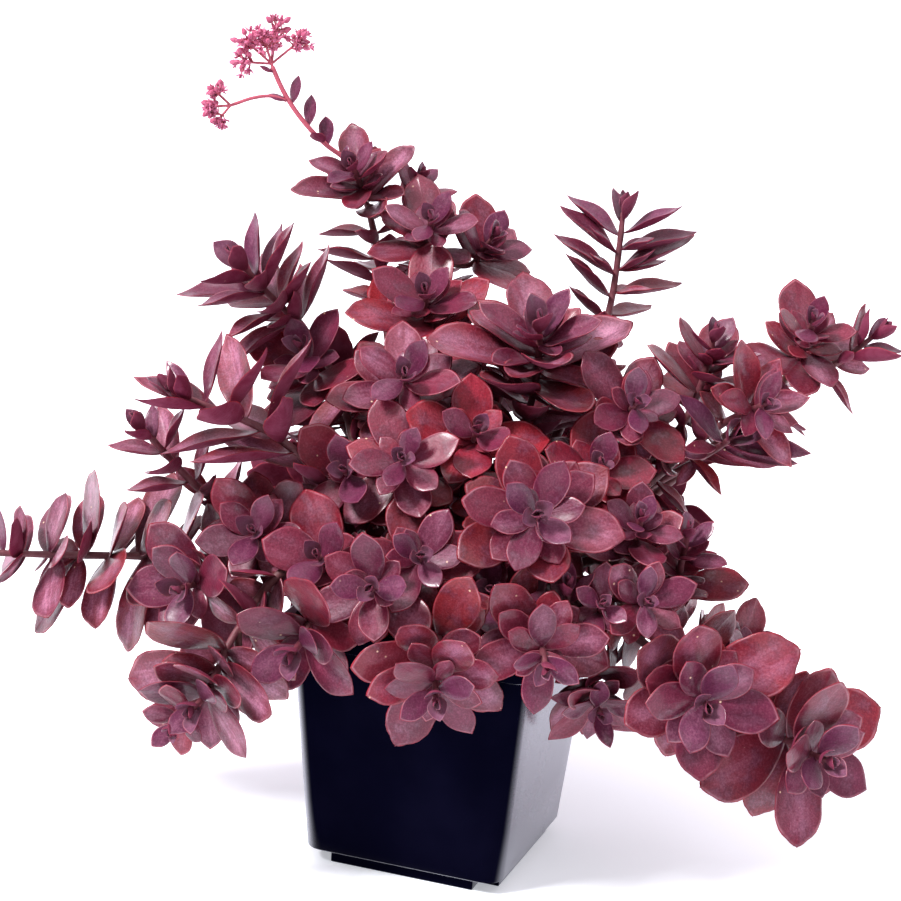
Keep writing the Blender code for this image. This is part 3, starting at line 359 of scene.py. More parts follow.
# Blades drawn in full: sides round the edge and rings from face to face, for leaves over a length.
BLADE_SIZES = [(20 * MM, 44, 8), (9 * MM, 28, 8), (0, 16, 6)]
# Under 1, it draws a blade's rings of points nearer its rim.
RIM_CROWD = 0.75
# Widest place, and how blunt the blade is to its root and to its tip: young, grown, and of leaves less
# broad than a share.
YOUNG_SHAPE = (0.54, 0.92, 1.22)
GROWN_SHAPE = (0.58, 0.82, 1.72)
LANCE_SHAPE = (0.50, 0.90, 1.30)
LANCE_BROAD = 0.45
FINE_MIDDLE = 0.48
# Leaves under a share of broad are folded like a boat, by a share of their half width.
NARROW = 0.5
KEEL = 0.42
KEEL_POWER = 1.4
KEEL_SUNK = 0.35
# How full and how sharp a blade's edge is, and how much thinner its tip.
EDGE_FULL = 3.0
EDGE_SHARP = 0.7
THIN_TIP = 0.25
# Grown leaves have blunt teeth: a notch at every third point of the edge, beyond a share of its length.
TOOTHED_AGE = 0.7
TOOTH_SIDES = 3
TOOTH_DEPTH = 0.012
TOOTH_CREST = 0.35
TOOTH_SPREAD = (0.5, 1.3)
TEETH_FROM = 0.42
# Waves round the edge, by a share of the half width, and how far a blade may be skewed and twisted.
WAVES = (2, 3)
WAVE_SHARE = 0.035
WAVE_SPREAD = (0.3, 1.5)
SKEW = 0.05
BLADE_TWIST = 0.16
# How closely teeth and waves keep to the rim: more is closer.
TOOTH_RIM = 8
WAVE_RIM = 3
# The leaves folded in a shoot's heart, youngest last: pair number, share of full length, and degrees from
# the stem where the shoot opens as far as HEART_OPEN.
HEART_PAIRS = [(1, 0.34, 42), (0, 0.21, 24), (-1, 0.12, 12), (-2, 0.07, 5)]
HEART_OPEN = 86
HEART_TURN_SPREAD = 8
HEART_ANGLE_SPREAD = 4
HEART_SPREAD = (0.8, 0.95)
HEART_WIDTH = 0.60
HEART_NARROWER = 0.9
HEART_THICKNESS = 1.1 * MM
HEART_THINNEST = 0.55
HEART_BEND = 0.5
HEART_CUP = 0.55
# How far past the stem's tip the innermost stand, for each pair and for the second leaf of a pair.
HEART_STEP = 0.35 * MM
HEART_STAGGER = 0.1 * MM
# Stems and flower heads' rays drawn in full: sides round them, and points along each straight length.
STEM_SIDES = 12
STEM_SMOOTH = 7
RAY_SIDES = 6
RAY_SMOOTH = 4
# A stem swells by a share where leaves stand, and its two ends are drawn out to points.
NODE_REACH = 2.2 * MM
NODE_SWELL = 0.16
STEM_FOOT = 0.1 * MM
STEM_CAP = 1.2 * MM
# A stem is bare for so many of its radii above the soil, and for so many below the picture's extra leaves.
BARE_RADII = 2
FILL_BARE_RADII = 4
# The extra leaves: so many pairs down the stem, and more between the pairs of shoots that face the light by
# a share. Each tries these: lift and swing in degrees, and its size.
FILL_PAIRS = 7
FILL_FACES = 0.4
FILL_TRIES = [(0, 0, 0.8), (-14, 0, 0.62), (14, 0, 0.62), (0, 26, 0.55), (0, -26, 0.55), (-30, 12, 0.42)]
# The pair from which a leaf looks fully old.
OLD_PAIR = 7
# How red the leaves of most and of some shoots are, from 0 to 1, and how far single leaves differ.
PLAIN_REDNESS = 0.12
REDNESS_SPREAD = 0.25
REDNESS = {
    "mid_red": 1.0,
    "mid_right": 0.6,
    "mid_low_left": 0.4,
    "mid_left": 0.35,
    "tower_low": 0.35,
    "shoulder_right": 0.35,
    "mid_front": 0.3,
    "far_right": 0.3,
    "brow_left": 0.3,
    "left_rim": 0.2,
    "right_low": 0.15,
    "right_lowest": 0.1,
}
# How much more bloom and painted sheen some shoots' leaves carry, in the open light, and the most any has.
MOST_BLOOM_AND_SHEEN = 1.25
PALENESS = {
    "trail_left": 0.8,
    "reach_left": 0.8,
    "reach_left_low": 0.8,
    "left_low": 0.6,
    "left_low_twin": 0.4,
    "tower_top": 0.35,
    "crown_right": 0.35,
    "left_shoulder": 0.3,
    "spire_left": 0.3,
    "right_blades": 0.3,
    "far_right_tip": 0.3,
    "crown_left": 0.25,
    "tower_mid": 0.2,
    "spire_right": 0.2,
    "shoulder_right": 0.2,
}

# An open flower's petals: their sides and rings, how they rise, shares of their size, and how dark they get.
PETALS = 5
PETAL_SIDES = (8, 4)
PETAL_RISE = (0.3, 0.9)
PETAL_BROAD = 0.5
PETAL_TAPER = 0.45
PETAL_CUP = 0.12
PETAL_FLESH = 0.12
PETAL_SHADE = (0, 0.7)
# The carpels in its cup, which are as red as a bud by a share, and dark.
CARPEL_LEAN = 0.35
CARPEL_LONG = 0.72
CARPEL_BROAD = 0.3
CARPEL_LOOK = (0.3, 1.0)
# A closed flower: its sides and rings, its shares of its size, and how dark it gets.
CLOSED_SIDES = (15, 8)
CLOSED_BROAD = 0.42
CLOSED_RIBS = 0.12
CLOSED_SUNK = 0.2
CLOSED_SHADE = (0, 0.6)
# How long both are, and how thick the rays are that carry them, as a share of a spray's.
OPEN_SIZE = 3.2 * MM
CLOSED_SIZE = 3.4 * MM
FLORET_RAY = 0.6
# The florets that the picture adds to each spray, where along it they fork off, and how.
MORE_FLORETS = 15
FORKS_AT = (0.68, 1.0)
MORE_TILT = (0, 95)
MORE_TURN = 1.2
MORE_SPREAD = (0.35, 1.1)
MORE_RAY = 0.55
MORE_CLOSED = 0.45
MORE_OPEN_SIZE = 2.9 * MM
MORE_CLOSED_SIZE = 3.1 * MM
# How deep a head's foot is sunk in its stalk.
HEAD_SUNK = 0.3 * MM

# The pot drawn in full: points round it, the share of them on its rounded corners, and its soft edges.
POT_SIDES = 64
CORNER_SHARE = 0.5
POT_SOFT = 0.6 * MM
POT_SHARP_FROM = math.radians(50)
FINE_DRAIN_SIDES = 32
# The soil's top: its rings from the edge in, its lumps, and the crumbs that lie on it.
SOIL_RINGS = (0.93, 0.86, 0.78, 0.7, 0.62, 0.54, 0.46, 0.38, 0.3, 0.22, 0.14, 0.06)
SOIL_LUMPS = 260
SOIL_LUMP_HEIGHT = 1.6 * MM
CRUMBS = 260
CRUMB_SIZE = (0.8 * MM, 2.6 * MM)
CRUMB_BROAD = (0.5, 0.9)
CRUMB_FLAT = (0.4, 0.8)
CRUMB_MARGIN = 4 * MM
CRUMB_RISE = 0.8


def view_axes():
    """Right, up and toward the viewer, as unit vectors in the pot's frame."""
    level_right = Vector((math.cos(VIEW_AZIMUTH), math.sin(VIEW_AZIMUTH), 0))
    level = math.cos(VIEW_ELEVATION)
    toward = Vector(
        (math.sin(VIEW_AZIMUTH) * level, -math.cos(VIEW_AZIMUTH) * level, math.sin(VIEW_ELEVATION))
    )
    level_up = toward.cross(level_right)
    tilt = Quaternion(toward, VIEW_ROLL)
    return tilt @ level_right, tilt @ level_up, toward


RIGHT, UP, TOWARD = view_axes()
VIEWER = VIEW_CENTRE + TOWARD * VIEW_DISTANCE


def seen(place):
    """The point that is seen so far right and up of the rim's centre, and nearer the viewer, in mm."""
    right, up, toward = (value * MM for value in place)
    nearer = toward / (VIEWER - RIM_CENTRE).length
    return RIM_CENTRE + (RIGHT * right + UP * up) * (1 - nearer) + (VIEWER - RIM_CENTRE) * nearer


def direction(looks):
    right, up, toward = looks
    return (RIGHT * right + UP * up + TOWARD * toward).normalized()


def bezier(handles, count):
    """So many points along the curve that four handles make, its two ends among them."""
    a, b, c, d = handles
    points = []
    for i in range(count):
        t = i / (count - 1)
        s = 1 - t
        points.append(a * s**3 + b * (3 * s * s * t) + c * (3 * s * t * t) + d * t**3)
    return points


def spread_roots():
    """A place in the soil for each shoot that has no parent, on the side that it leans to."""
    rooted = [shoot for shoot in SHOOTS if not shoot.parent]
    places = []
    for shoot in rooted:
        tip = seen(shoot.seen)
        flat = Vector((tip.x, tip.y))
        places.append(flat.normalized() * min(ROOT_LEAN * flat.length, ROOT_FIELD))
    for _ in range(ROOT_STEPS):
        for i, a in enumerate(places):
            for b in places[i + 1 :]:
                apart = a - b
                short = ROOT_SPACING - apart.length
                if short > 0:
                    push = apart.normalized() * short * 0.5
                    a += push
                    b -= push
        for place in places:
            place.x = min(max(place.x, -ROOT_FIELD), ROOT_FIELD)
            place.y = min(max(place.y, -ROOT_FIELD), ROOT_FIELD)
    return {shoot.name: place for shoot, place in zip(rooted, places)}


def first_paths():
    """Each stem's line from its root or its parent to its tip, before the stems are parted."""
    roots = spread_roots()
    paths = {}
    for shoot in SHOOTS:
        tip = seen(shoot.seen)
        looks = direction(shoot.looks)
        neck = tip - looks * STRAIGHT * shoot.gap * MM
        behind = neck - looks * shoot.run * MM
        straight = [neck.lerp(tip, (i + 1) / NECK_POINTS) for i in range(NECK_POINTS)]
        if shoot.parent:
            parent = paths[shoot.parent]
            start = parent[STEM_STATIONS[BRANCH_STATION]]
            lead = start + (parent[-1] - start).normalized() * shoot.rise * MM
            bend = bezier((start, lead, behind, neck), STEM_POINTS - NECK_POINTS)
            paths[shoot.name] = [*bend, *straight]
        else:
            flat = roots[shoot.name]
            collar = Vector((flat.x, flat.y, COLLAR))
            lead = collar + Vector((tip.x * STEM_LEAN, tip.y * STEM_LEAN, shoot.rise * MM))
            root = Vector((flat.x, flat.y, SOIL_TOP - ROOT_DEPTH))
            bend = bezier((collar, lead, behind, neck), STEM_POINTS - NECK_POINTS - 1)
            paths[shoot.name] = [root, *bend, *straight]
    return paths


def part_stems(paths):
    """Moves the stems' bends clear of each other and of the pot's rim, with their roots and tips held."""
    names = list(paths)
    bends = np.array([[tuple(paths[name][k]) for k in STEM_STATIONS] for name in names])
    count, stations = bends.shape[:2]
    along = np.arange((stations - 1) * LENGTH_SAMPLES + 1) / LENGTH_SAMPLES
    weights = np.clip(1 - np.abs(along[:, None] - np.arange(stations)[None, :]), 0, None)
    free = np.array(STATION_FREEDOM)[None, :, None]
    owner = np.repeat(np.arange(count), len(along))
    kin = owner[:, None] == owner[None, :]
    parents = {}
    for i, shoot in enumerate(SHOOTS):
        if shoot.parent:
            parents[i] = names.index(shoot.parent)
            pair = np.outer(owner == i, owner == parents[i])
            kin |= pair | pair.T
    for _ in range(PARTING_STEPS):
        line = weights @ bends
        flat = line.reshape(-1, 3)
        distance = np.sqrt(np.maximum(((flat[:, None] - flat[None, :]) ** 2).sum(axis=2), 1e-12))
        share = np.clip(STEM_CLEARANCE / distance - 1, 0, PARTING_LIMIT)
        share[kin] = 0
        push = (flat * share.sum(axis=1)[:, None] - share @ flat) / 2
        push = push.reshape(line.shape)
        beyond = np.abs(line[..., :2]).max(axis=2) - RIM_WIDTH / 2
        over = (beyond > -RIM_INSIDE) & (beyond < RIM_OUTSIDE)
        push[..., 2] += np.where(over, np.clip(POT_HEIGHT + RIM_CLEARANCE - line[..., 2], 0, None), 0)
        bends = bends + (weights.T @ push) * free * PARTING_SHARE
        for child, parent in parents.items():
            bends[child, 0] = bends[parent, BRANCH_STATION]
    return {name: [Vector(point) for point in bends[i]] for i, name in enumerate(names)}


def station(path, back):
    """The point so far back from a stem's tip, the way the stem points there, and its zero of turn."""
    ahead = (path[-1] - path[-2]).normalized()
    zero = (RIGHT - ahead * RIGHT.dot(ahead)).normalized()
    for a, b in zip(path[:0:-1], path[-2::-1]):
        turned = (a - b).normalized()
        zero = ahead.rotation_difference(turned) @ zero
        ahead = turned
        step = (a - b).length
        if step >= back:
            return a + (b - a) * (back / step), ahead, zero
        back -= step
    return path[0], ahead, zero


def path_length(path):
    return sum((a - b).length for a, b in zip(path, path[1:]))


def spacing(shoot, pair):
    return shoot.gap * MM * min(1, FIRST_SPACING + SPACING_STEP * pair)


def leaf_back(shoot, pair, side):
    """How far behind the tip one leaf of a pair grows."""
    younger = sum(spacing(shoot, k) for k in range(pair))
    return younger + (FIRST_BACK + STAGGER * side) * spacing(shoot, pair)


def reared(shoot, path, back):
    """A station whose way ahead is turned up, as the leaves of leaning and trailing shoots stand."""
    base, ahead, zero = station(path, back)
    risen = (ahead + SKY * shoot.sky).normalized()
    return base, risen, ahead.rotation_difference(risen) @ zero


def face_light(base, along, face, share):
    """A leaf's face, turned about its length by a share toward the open sky on its side of the plant."""
    light = (base - LIGHT_FROM).normalized() * LIGHT_SPREAD + LIGHT
    light -= along * light.dot(along)
    return (face + light * share).normalized()


def make_leaf(shoot, path, pair, side, attempt):
    """The leaf that a shoot grows at a pair, as changed by one of the tries for room."""
    lift, swing, share = attempt
    chance = random.Random(f"{shoot.name} {pair} {side}")
    grown = min(1.0, shoot.youngest + LENGTH_STEP * pair)
    length = shoot.leaf * MM * grown * (1 + chance.uniform(-LENGTH_SPREAD, LENGTH_SPREAD)) * share
    opened = 1 - math.exp(-(pair + OPENS_FROM) / OPENS_IN)
    angle = shoot.open * opened + chance.uniform(-1, 1) * ANGLE_SPREAD * grown
    turn = shoot.turn + shoot.twist * pair + 180 * side + chance.uniform(-1, 1) * TURN_SPREAD
    bend = math.radians(YOUNG_BEND * (1 - grown) + chance.uniform(*BEND_SPREAD))
    cup = chance.uniform(*CUP_SPREAD)
    base, ahead, zero = reared(shoot, path, leaf_back(shoot, pair, side))
    outward = Quaternion(ahead, math.radians(turn + swing)) @ zero
    tilt = math.radians(angle + lift)
    along = ahead * math.cos(tilt) + outward * math.sin(tilt)
    face = ahead * math.sin(tilt) - outward * math.cos(tilt)
    face = face_light(base, along, face, shoot.faces * min(1, FACES_STEP * pair))
    thickness = LEAF_THICKNESS * (YOUNG_THICKNESS + (1 - YOUNG_THICKNESS) * grown)
    return Leaf(shoot.name, pair, base, along, face, length, length * shoot.broad, bend, cup, thickness)


def blade_point(leaf, t, across, lift=0.0):
    """A point of the blade's middle surface, t along it and across from -1 to 1, lifted off it."""
    curl = leaf.bend * t
    forward, raised = leaf.length * t, 0.0
    if abs(leaf.bend) > LEAST_BEND:
        forward = leaf.length * math.sin(curl) / leaf.bend
        raised = leaf.length * (1 - math.cos(curl)) / leaf.bend
    upward = leaf.face * math.cos(curl) - leaf.along * math.sin(curl)
    sideways = leaf.along.cross(leaf.face)
    half = leaf.width / 2
    point = leaf.base + leaf.along * forward + leaf.face * raised
    return point + sideways * (across * half) + upward * (leaf.cup * half * across * across + lift)


def blade_edge(leaf):
    """A plain blade's corners with their clearance, from its root up one side and down the other."""
    edge = TOOTHED_EDGE if leaf.pair >= TOOTHED_FROM else PLAIN_EDGE
    widen = 1 + 2 * LEAF_CLEARANCE / leaf.width
    right = [blade_point(leaf, t, half * widen) for t, half in edge]
    left = [blade_point(leaf, t, -half * widen) for t, half in reversed(edge)]
    return [leaf.base, *right, blade_point(leaf, 1 + LEAF_CLEARANCE / leaf.length, 0), *left]


def blade_tree(leaf):
    """A plain blade's skin with its clearance: two fans, which meet at the leaf's edge."""
    mesh = bmesh.new()
    edge = blade_edge(leaf)
    thick = leaf.thickness / 2 + LEAF_CLEARANCE
    ball = bmesh.ops.create_uvsphere(mesh, u_segments=len(edge), v_segments=2, radius=1)
    for corner in ball["verts"]:
        if abs(corner.co.z) > 0.5:
            corner.co = blade_point(leaf, BLADE_MIDDLE, 0, math.copysign(thick, corner.co.z))
        else:
            turn = math.atan2(corner.co.y, corner.co.x) / (2 * math.pi)
            corner.co = edge[round(turn * len(edge)) % len(edge)]
    tree = BVHTree.FromBMesh(mesh)
    mesh.free()
    return tree


def stem_tree(path):
    """A stem's skin and its bud's with their clearance, length by length."""
    mesh = bmesh.new()
    radius = STEM_ROOT_RADIUS + LEAF_CLEARANCE
    tip, ahead, _ = station(path, 0)
    line = [*path, tip + ahead * BUD_LENGTH]
    for a, b in zip(line, line[1:]):
        place = Matrix.Translation((a + b) / 2) @ (b - a).to_track_quat("Z", "Y").to_matrix().to_4x4()
        shape = {"radius1": radius, "radius2": radius, "depth": (b - a).length}
        bmesh.ops.create_cone(mesh, segments=TREE_SIDES, matrix=place, **shape)
    tree = BVHTree.FromBMesh(mesh)
    mesh.free()
    return tree


class Room:
    """The stems, the leaves so far and the still pieces, which a new leaf has to stay clear of."""

    def __init__(self, paths, still):
        self.stems = {name: stem_tree(path) for name, path in paths.items()}
        self.still = still
        self.placed = []

    def has(self, leaf, tree, beside_next):
        """True if a leaf is clear of them all and of the floor. It may meet its shoot's next pair."""
        low = min(blade_point(leaf, t, across).z for t, across in LOW_POINTS)
        if low < FLOOR_CLEARANCE or any(tree.overlap(other) for other in self.still):
            return False
        if any(name != leaf.shoot and tree.overlap(stem) for name, stem in self.stems.items()):
            return False
        middle = blade_point(leaf, BLADE_MIDDLE, 0)
        for other, other_middle, other_tree in self.placed:
            near = (leaf.length + other.length) * NEAR_SHARE
            allowed = beside_next and other.shoot == leaf.shoot and leaf.pair - other.pair < 2
            if not allowed and (other_middle - middle).length < near and tree.overlap(other_tree):
                return False
        return True

    def place(self, shoot, path, pair, side, tries, beside_next=False):
        """Keeps a leaf as the first of its tries that has room, if one has."""
        for attempt in tries:
            leaf = make_leaf(shoot, path, pair, side, attempt)
            tree = blade_tree(leaf)
            if self.has(leaf, tree, beside_next):
                self.placed.append((leaf, blade_point(leaf, BLADE_MIDDLE, 0), tree))
                break


def leafy_length(path, bare):
    """How far down a stem its leaves may stand: to so many of its radii above the soil."""
    return path_length(path) - ROOT_DEPTH - bare * STEM_ROOT_RADIUS


def grow(room, paths):
    """Every leaf that finds room, the youngest pairs first, so that each rosette keeps its heart."""
    for pair in range(FIRST_PAIR, max(shoot.pairs for shoot in SHOOTS)):
        for shoot in SHOOTS:
            path = paths[shoot.name]
            for side in (0, 1):
                if pair < shoot.pairs and leaf_back(shoot, pair, side) <= leafy_length(path, BARE_RADII):
                    room.place(shoot, path, pair, side, TRIES, beside_next=True)


def fill_in(room, paths):
    """Smaller leaves in the gaps of the rosettes and down the stems, wherever one has room."""
    for shoot in SHOOTS:
        path = paths[shoot.name]
        between = []
        if shoot.faces >= FILL_FACES:
            halves = (shoot.twist / 2, -shoot.twist / 2)
            between = [(pair, half) for pair in range(FIRST_PAIR + 1, shoot.pairs) for half in halves]
        older = [(pair, 0) for pair in range(shoot.pairs, shoot.pairs + FILL_PAIRS)]
        for pair, half in between + older:
            tries = [(lift, swing + half, share) for lift, swing, share in FILL_TRIES]
            for side in (0, 1):
                if leaf_back(shoot, pair, side) <= leafy_length(path, FILL_BARE_RADII):
                    room.place(shoot, path, pair, side, tries)


def stalk_path(paths):
    """The flower stalk, from the stem that carries it to its main head."""
    start = paths[STALK_OF][STALK_FROM]
    return [start, *bezier([seen(place) for place in STALK], STALK_POINTS)]


def bracts(path):
    """The small leaves along the flower stalk."""
    whole = path_length(path)
    for share, turn, size in STALK_BRACTS:
        base, ahead, zero = station(path, whole * (1 - share))
        outward = Quaternion(ahead, math.radians(turn)) @ zero
        along = (ahead * BRACT_LEAN + outward).normalized()
        face = face_light(base, along, (ahead - outward * BRACT_LEAN).normalized(), BRACT_FACES)
        length = size * MM
        shape = (length, length * BRACT_WIDTH, BRACT_BEND, BRACT_CUP, BRACT_THICKNESS)
        yield Leaf(STALK_OF, FIRST_PAIR, base, along, face, *shape)


def around(axis, tilt, turn):
    """A direction tilted off an axis, and turned round it."""
    side = axis.orthogonal().normalized()
    return Quaternion(axis, turn) @ (Quaternion(side, tilt) @ axis)


def pot_width(height):
    """The pot's outer width at a height."""
    share = (height - FOOT_HEIGHT) / (POT_HEIGHT - FOOT_HEIGHT)
    return POT_BASE_WIDTH + (POT_TOP_WIDTH - POT_BASE_WIDTH) * share


class Link:
    """One output of a finish's node. Sums, differences and products of it add Math nodes."""

    def __init__(self, finish, socket):
        self.finish = finish
        self.socket = socket

    def __add__(self, other):
        return self.finish.maths("ADD", self, other)

    def __sub__(self, other):
        return self.finish.maths("SUBTRACT", self, other)

    def __rsub__(self, other):
        return self.finish.maths("SUBTRACT", other, self)

    def __mul__(self, other):
        return self.finish.maths("MULTIPLY", self, other)

    def __abs__(self):
        return self.finish.maths("ABSOLUTE", self)

    __radd__ = __add__
    __rmul__ = __mul__


class Finish:
    """A material that lays its colours one over another, and feeds them to a Principled shader."""

    def __init__(self, name, colour, **sockets):
        self.material = bpy.data.materials.new(name)
        self.material.use_nodes = True
        self.tree = self.material.node_tree
        self.shader = self.tree.nodes["Principled BSDF"]
        self.colour = colour
        self.set(**sockets)

    def set(self, **sockets):
        """Sets the shader's own sockets, by their names with _ for a space."""
        for name, value in sockets.items():
            self.feed(self.shader.inputs[name.replace("_", " ")], value)

    def feed(self, socket, value):
        """Gives a socket a link, a colour or a plain value."""
        if isinstance(value, Link):
            self.tree.links.new(value.socket, socket)
        elif isinstance(value, tuple) and socket.type == "RGBA":
            socket.default_value = (*value, 1)
        else:
            socket.default_value = value

    def node(self, kind, settings, sockets, out=0):
        """A node of a kind, with its settings and then the values or links of its sockets."""
        made = self.tree.nodes.new("ShaderNode" + kind)
        for name, value in settings.items():
            setattr(made, name, value)
        for name, value in sockets.items():
            self.feed(made.inputs[name], value)
        return Link(self, made.outputs[out])

    def maths(self, operation, *values):
        return self.node("Math", {"operation": operation}, dict(enumerate(values)))

    def place(self):
        return self.node("TexCoord", {}, {}, "Object")

    def grain(self, size, detail=2, roughness=0.55, place=None):
        """Noise whose lumps are about so large, in metres."""
        sockets = {"Vector": place or self.place(), "Scale": 1 / size}
        return self.node("TexNoise", {}, {**sockets, "Detail": detail, "Roughness": roughness}, "Fac")

    def step(self, value, low, high):
        """0 below low and 1 above high, with a smooth rise between them."""
        sockets = {"Value": value, "From Min": low, "From Max": high}
        return self.node("MapRange", {"interpolation_type": "SMOOTHSTEP"}, sockets)

    def fade(self, value, low, high):
        """1 below low and 0 above high, with a smooth fall between them."""
        return 1 - self.step(value, low, high)

    def mix(self, share, a, b):
        return self.node("Mix", {"data_type": "RGBA"}, {0: share, 6: a, 7: b}, 2)

    def lay(self, share, colour):
        """Lays a colour over the ones so far, by a share from 0 to 1."""
        self.colour = self.mix(share, self.colour, colour)

    def attribute(self, name):
        """The three numbers of a mesh's own attribute."""
        whole = self.node("Attribute", {"attribute_name": name}, {}, "Vector")
        return [self.node("SeparateXYZ", {}, {0: whole}, axis) for axis in range(3)]

    def bump(self, height, depth, normal=None):
        """A relief of a height from 0 to 1, so deep in metres, over another one if it is given."""
        sockets = {"Height": height, "Distance": depth, "Strength": 1.0}
        if normal:
            sockets["Normal"] = normal
        return self.node("Bump", {}, sockets)

    def done(self, **sockets):
        """The material, with its colours and its last sockets fed."""
        self.set(Base_Color=self.colour, **sockets)
        return self.material


def leaf_finish():
    """Waxy purple-red, dusky young and brick red old; paler where worn, streaked bloom with painted sheen,
    painted shade at the root.
    """
    finish = Finish("waxy leaf", LEAF["young"], Specular_IOR_Level=0.24, Specular_Tint=LEAF["gloss"])
    finish.set(Coat_Roughness=0.21, Coat_IOR=1.45, Coat_Tint=LEAF["coat"])
    finish.set(Subsurface_Weight=0.05, Subsurface_Scale=0.003, Subsurface_Radius=LEAF["glow"])
    step, fade, grain, lay = finish.step, finish.fade, finish.grain, finish.lay
    rim, along, across = finish.attribute("blade")
    age, waxy_sheen, red = finish.attribute("leaf")
    upper = step(finish.attribute("face")[0], -0.1, 0.1)
    aside = abs(across)
    cloud = grain(8 * MM, 3)
    mottle = grain(1.3 * MM, 3, 0.6)
    fine = grain(0.4 * MM, 2)
    grit = grain(0.75 * MM, 3, 0.65)
    lengthwise = finish.node("CombineXYZ", {}, {0: across * 2.6, 1: along * 2.2, 2: waxy_sheen * 40})
    streak = grain(1, 3, 0.6, lengthwise)

    lay(step(age, 0.15, 0.65), LEAF["grown"])
    lay(step(age, 0.6, 1.0), LEAF["old"])
    lay(red * step(age, 0.2, 0.7) * (0.35 + 0.75 * cloud), LEAF["brick"])
    lay(step(cloud, 0.40, 0.66) * 0.55, LEAF["dusk"])
    # Painted shade: darker toward each leaf's root, where the leaves crowd the stem.
    lay(fade(along, 0.0, 0.35) * 0.5, LEAF["root"])

    # Bloom with a painted sheen: paler over each leaf's middle and along its streaks, most on shoots in the
    # open light.
    middle = fade(aside, 0.10, 0.95) * step(along, 0.10, 0.60) * fade(along, 0.75, 1.0)
    streaks = step(streak * 0.75 + mottle * 0.25, 0.40, 0.62)
    wax = middle * (0.35 + 0.65 * streaks) * (0.08 + 0.92 * waxy_sheen * waxy_sheen)
    wax = wax * (0.35 + 0.65 * step(age, 0.35, 0.75))
    lay(wax * 0.62, LEAF["wax"])
    worn = step(cloud * 0.6 + mottle * 0.4, 0.50, 0.66)
    lay(worn * 0.12, LEAF["worn"])
    lay(fade(grit, 0.36, 0.54) * 0.30, LEAF["dark grit"])
    lay(step(grit, 0.50, 0.68) * (0.05 + 0.18 * wax), LEAF["pale grit"])

    # Painted light: random patches where the rims catch the light, brightening the rim's painted highlight and
    # the red edge.
    lit = step(grain(12 * MM, 2), 0.42, 0.60)
    painted_rim_highlight = step(rim, 0.90, 0.95) * fade(rim, 0.955, 0.975)
    lay(painted_rim_highlight * (0.04 + 0.32 * lit), LEAF["painted_rim_highlight"])
    # The leaf's own red margin, made brighter in the painted lit patches.
    edge = step(rim, 0.965, 0.985)
    lay(edge * (0.25 + 0.45 * lit), LEAF["edge"])
    heart = fade(age, 0.08, 0.38) * (1 - step(along, 0.3, 1.1) * 0.8)
    lay(heart * 0.8, LEAF["heart"])
    under = finish.mix(step(cloud, 0.4, 0.62), LEAF["under"], LEAF["pale under"])
    lay((1 - upper) * 0.85 * (1 - edge), under)

    speck = finish.node("TexVoronoi", {}, {"Vector": finish.place(), "Scale": 1 / (7 * MM)}, "Distance")
    sparse = step(grain(30 * MM, 1), 0.48, 0.58) * step(age, 0.3, 0.5)
    lay(fade(speck, 0.03, 0.08) * sparse, LEAF["speck"])

    groove = fade(aside, 0.0, 0.10) * fade(along, 0.3, 0.6)
    dented = finish.bump(cloud * 0.8 + streak * 0.25, 0.9 * MM)
    normal = finish.bump(mottle * 0.6 + fine * 0.25 - groove * 0.3, 0.27 * MM, dented)
    rough = 0.34 + 0.22 * mottle + (1 - upper) * 0.2
    return finish.done(Roughness=rough, Normal=normal, Coat_Weight=upper * (0.45 + 0.45 * worn))


def stem_finish():
    """Reddish brown skin, ringed where the leaves stood."""
    finish = Finish("stem skin", STEM["low"], Specular_IOR_Level=0.4)
    height, node, pink = finish.attribute("stem")
    cloud = finish.grain(3 * MM, 3)
    finish.lay(finish.step(height, 0.2, 0.9), STEM["high"])
    finish.lay(finish.step(cloud, 0.4, 0.65) * 0.5, STEM["scurf"])
    finish.lay(node * 0.5, STEM["ring"])
    finish.lay(pink, STEM["flowering"])
    return finish.done(Roughness=0.48 + 0.15 * cloud, Normal=finish.bump(cloud, 0.3 * MM))


def bloom_finish():
    """Pink petals, paler where they leave the cup."""
    finish = Finish("petal", PETAL["throat"], Specular_IOR_Level=0.35, Roughness=0.5)
    finish.set(Subsurface_Weight=0.1, Subsurface_Scale=0.002)
    along, bud, shade = finish.attribute("petal")
    finish.lay(finish.step(along, 0.1, 0.9), PETAL["tip"])
    finish.lay(bud, PETAL["bud"])
    finish.lay(shade * 0.4, PETAL["shade"])
    return finish.done()


def pot_finish():
    """Black plastic with a blue cast, faintly marked and dusty, that mirrors the studio when seen aslant."""
    finish = Finish("black plastic", PLASTIC["black"], Specular_IOR_Level=0.0)
    cloud = finish.grain(35 * MM, 3)
    dust = finish.grain(0.8 * MM, 4, 0.7)
    finish.lay(finish.step(cloud, 0.4, 0.7) * 0.5, PLASTIC["cloud"])
    finish.lay(finish.step(dust, 0.68, 0.8) * 0.3, PLASTIC["dust"])
    normal = finish.bump(finish.grain(14 * MM, 2), 0.12 * MM)
    rough = 0.16 + 0.14 * cloud + 0.1 * dust
    mirror = {"Base Color": PLASTIC["mirror"], "Metallic": 1, "Roughness": rough, "Normal": normal}
    mirror = finish.node("BsdfPrincipled", {}, mirror)
    aslant = finish.node("LayerWeight", {}, {"Blend": 0.5}, "Facing")
    aslant = finish.step(aslant, POT_GLOSS_FROM, 1) * POT_GLOSS
    plain = Link(finish, finish.shader.outputs[0])
    both = finish.node("MixShader", {}, {0: aslant, 1: plain, 2: mirror})
    finish.feed(finish.tree.nodes["Material Output"].inputs["Surface"], both)
    return finish.done(Roughness=rough, Normal=normal)


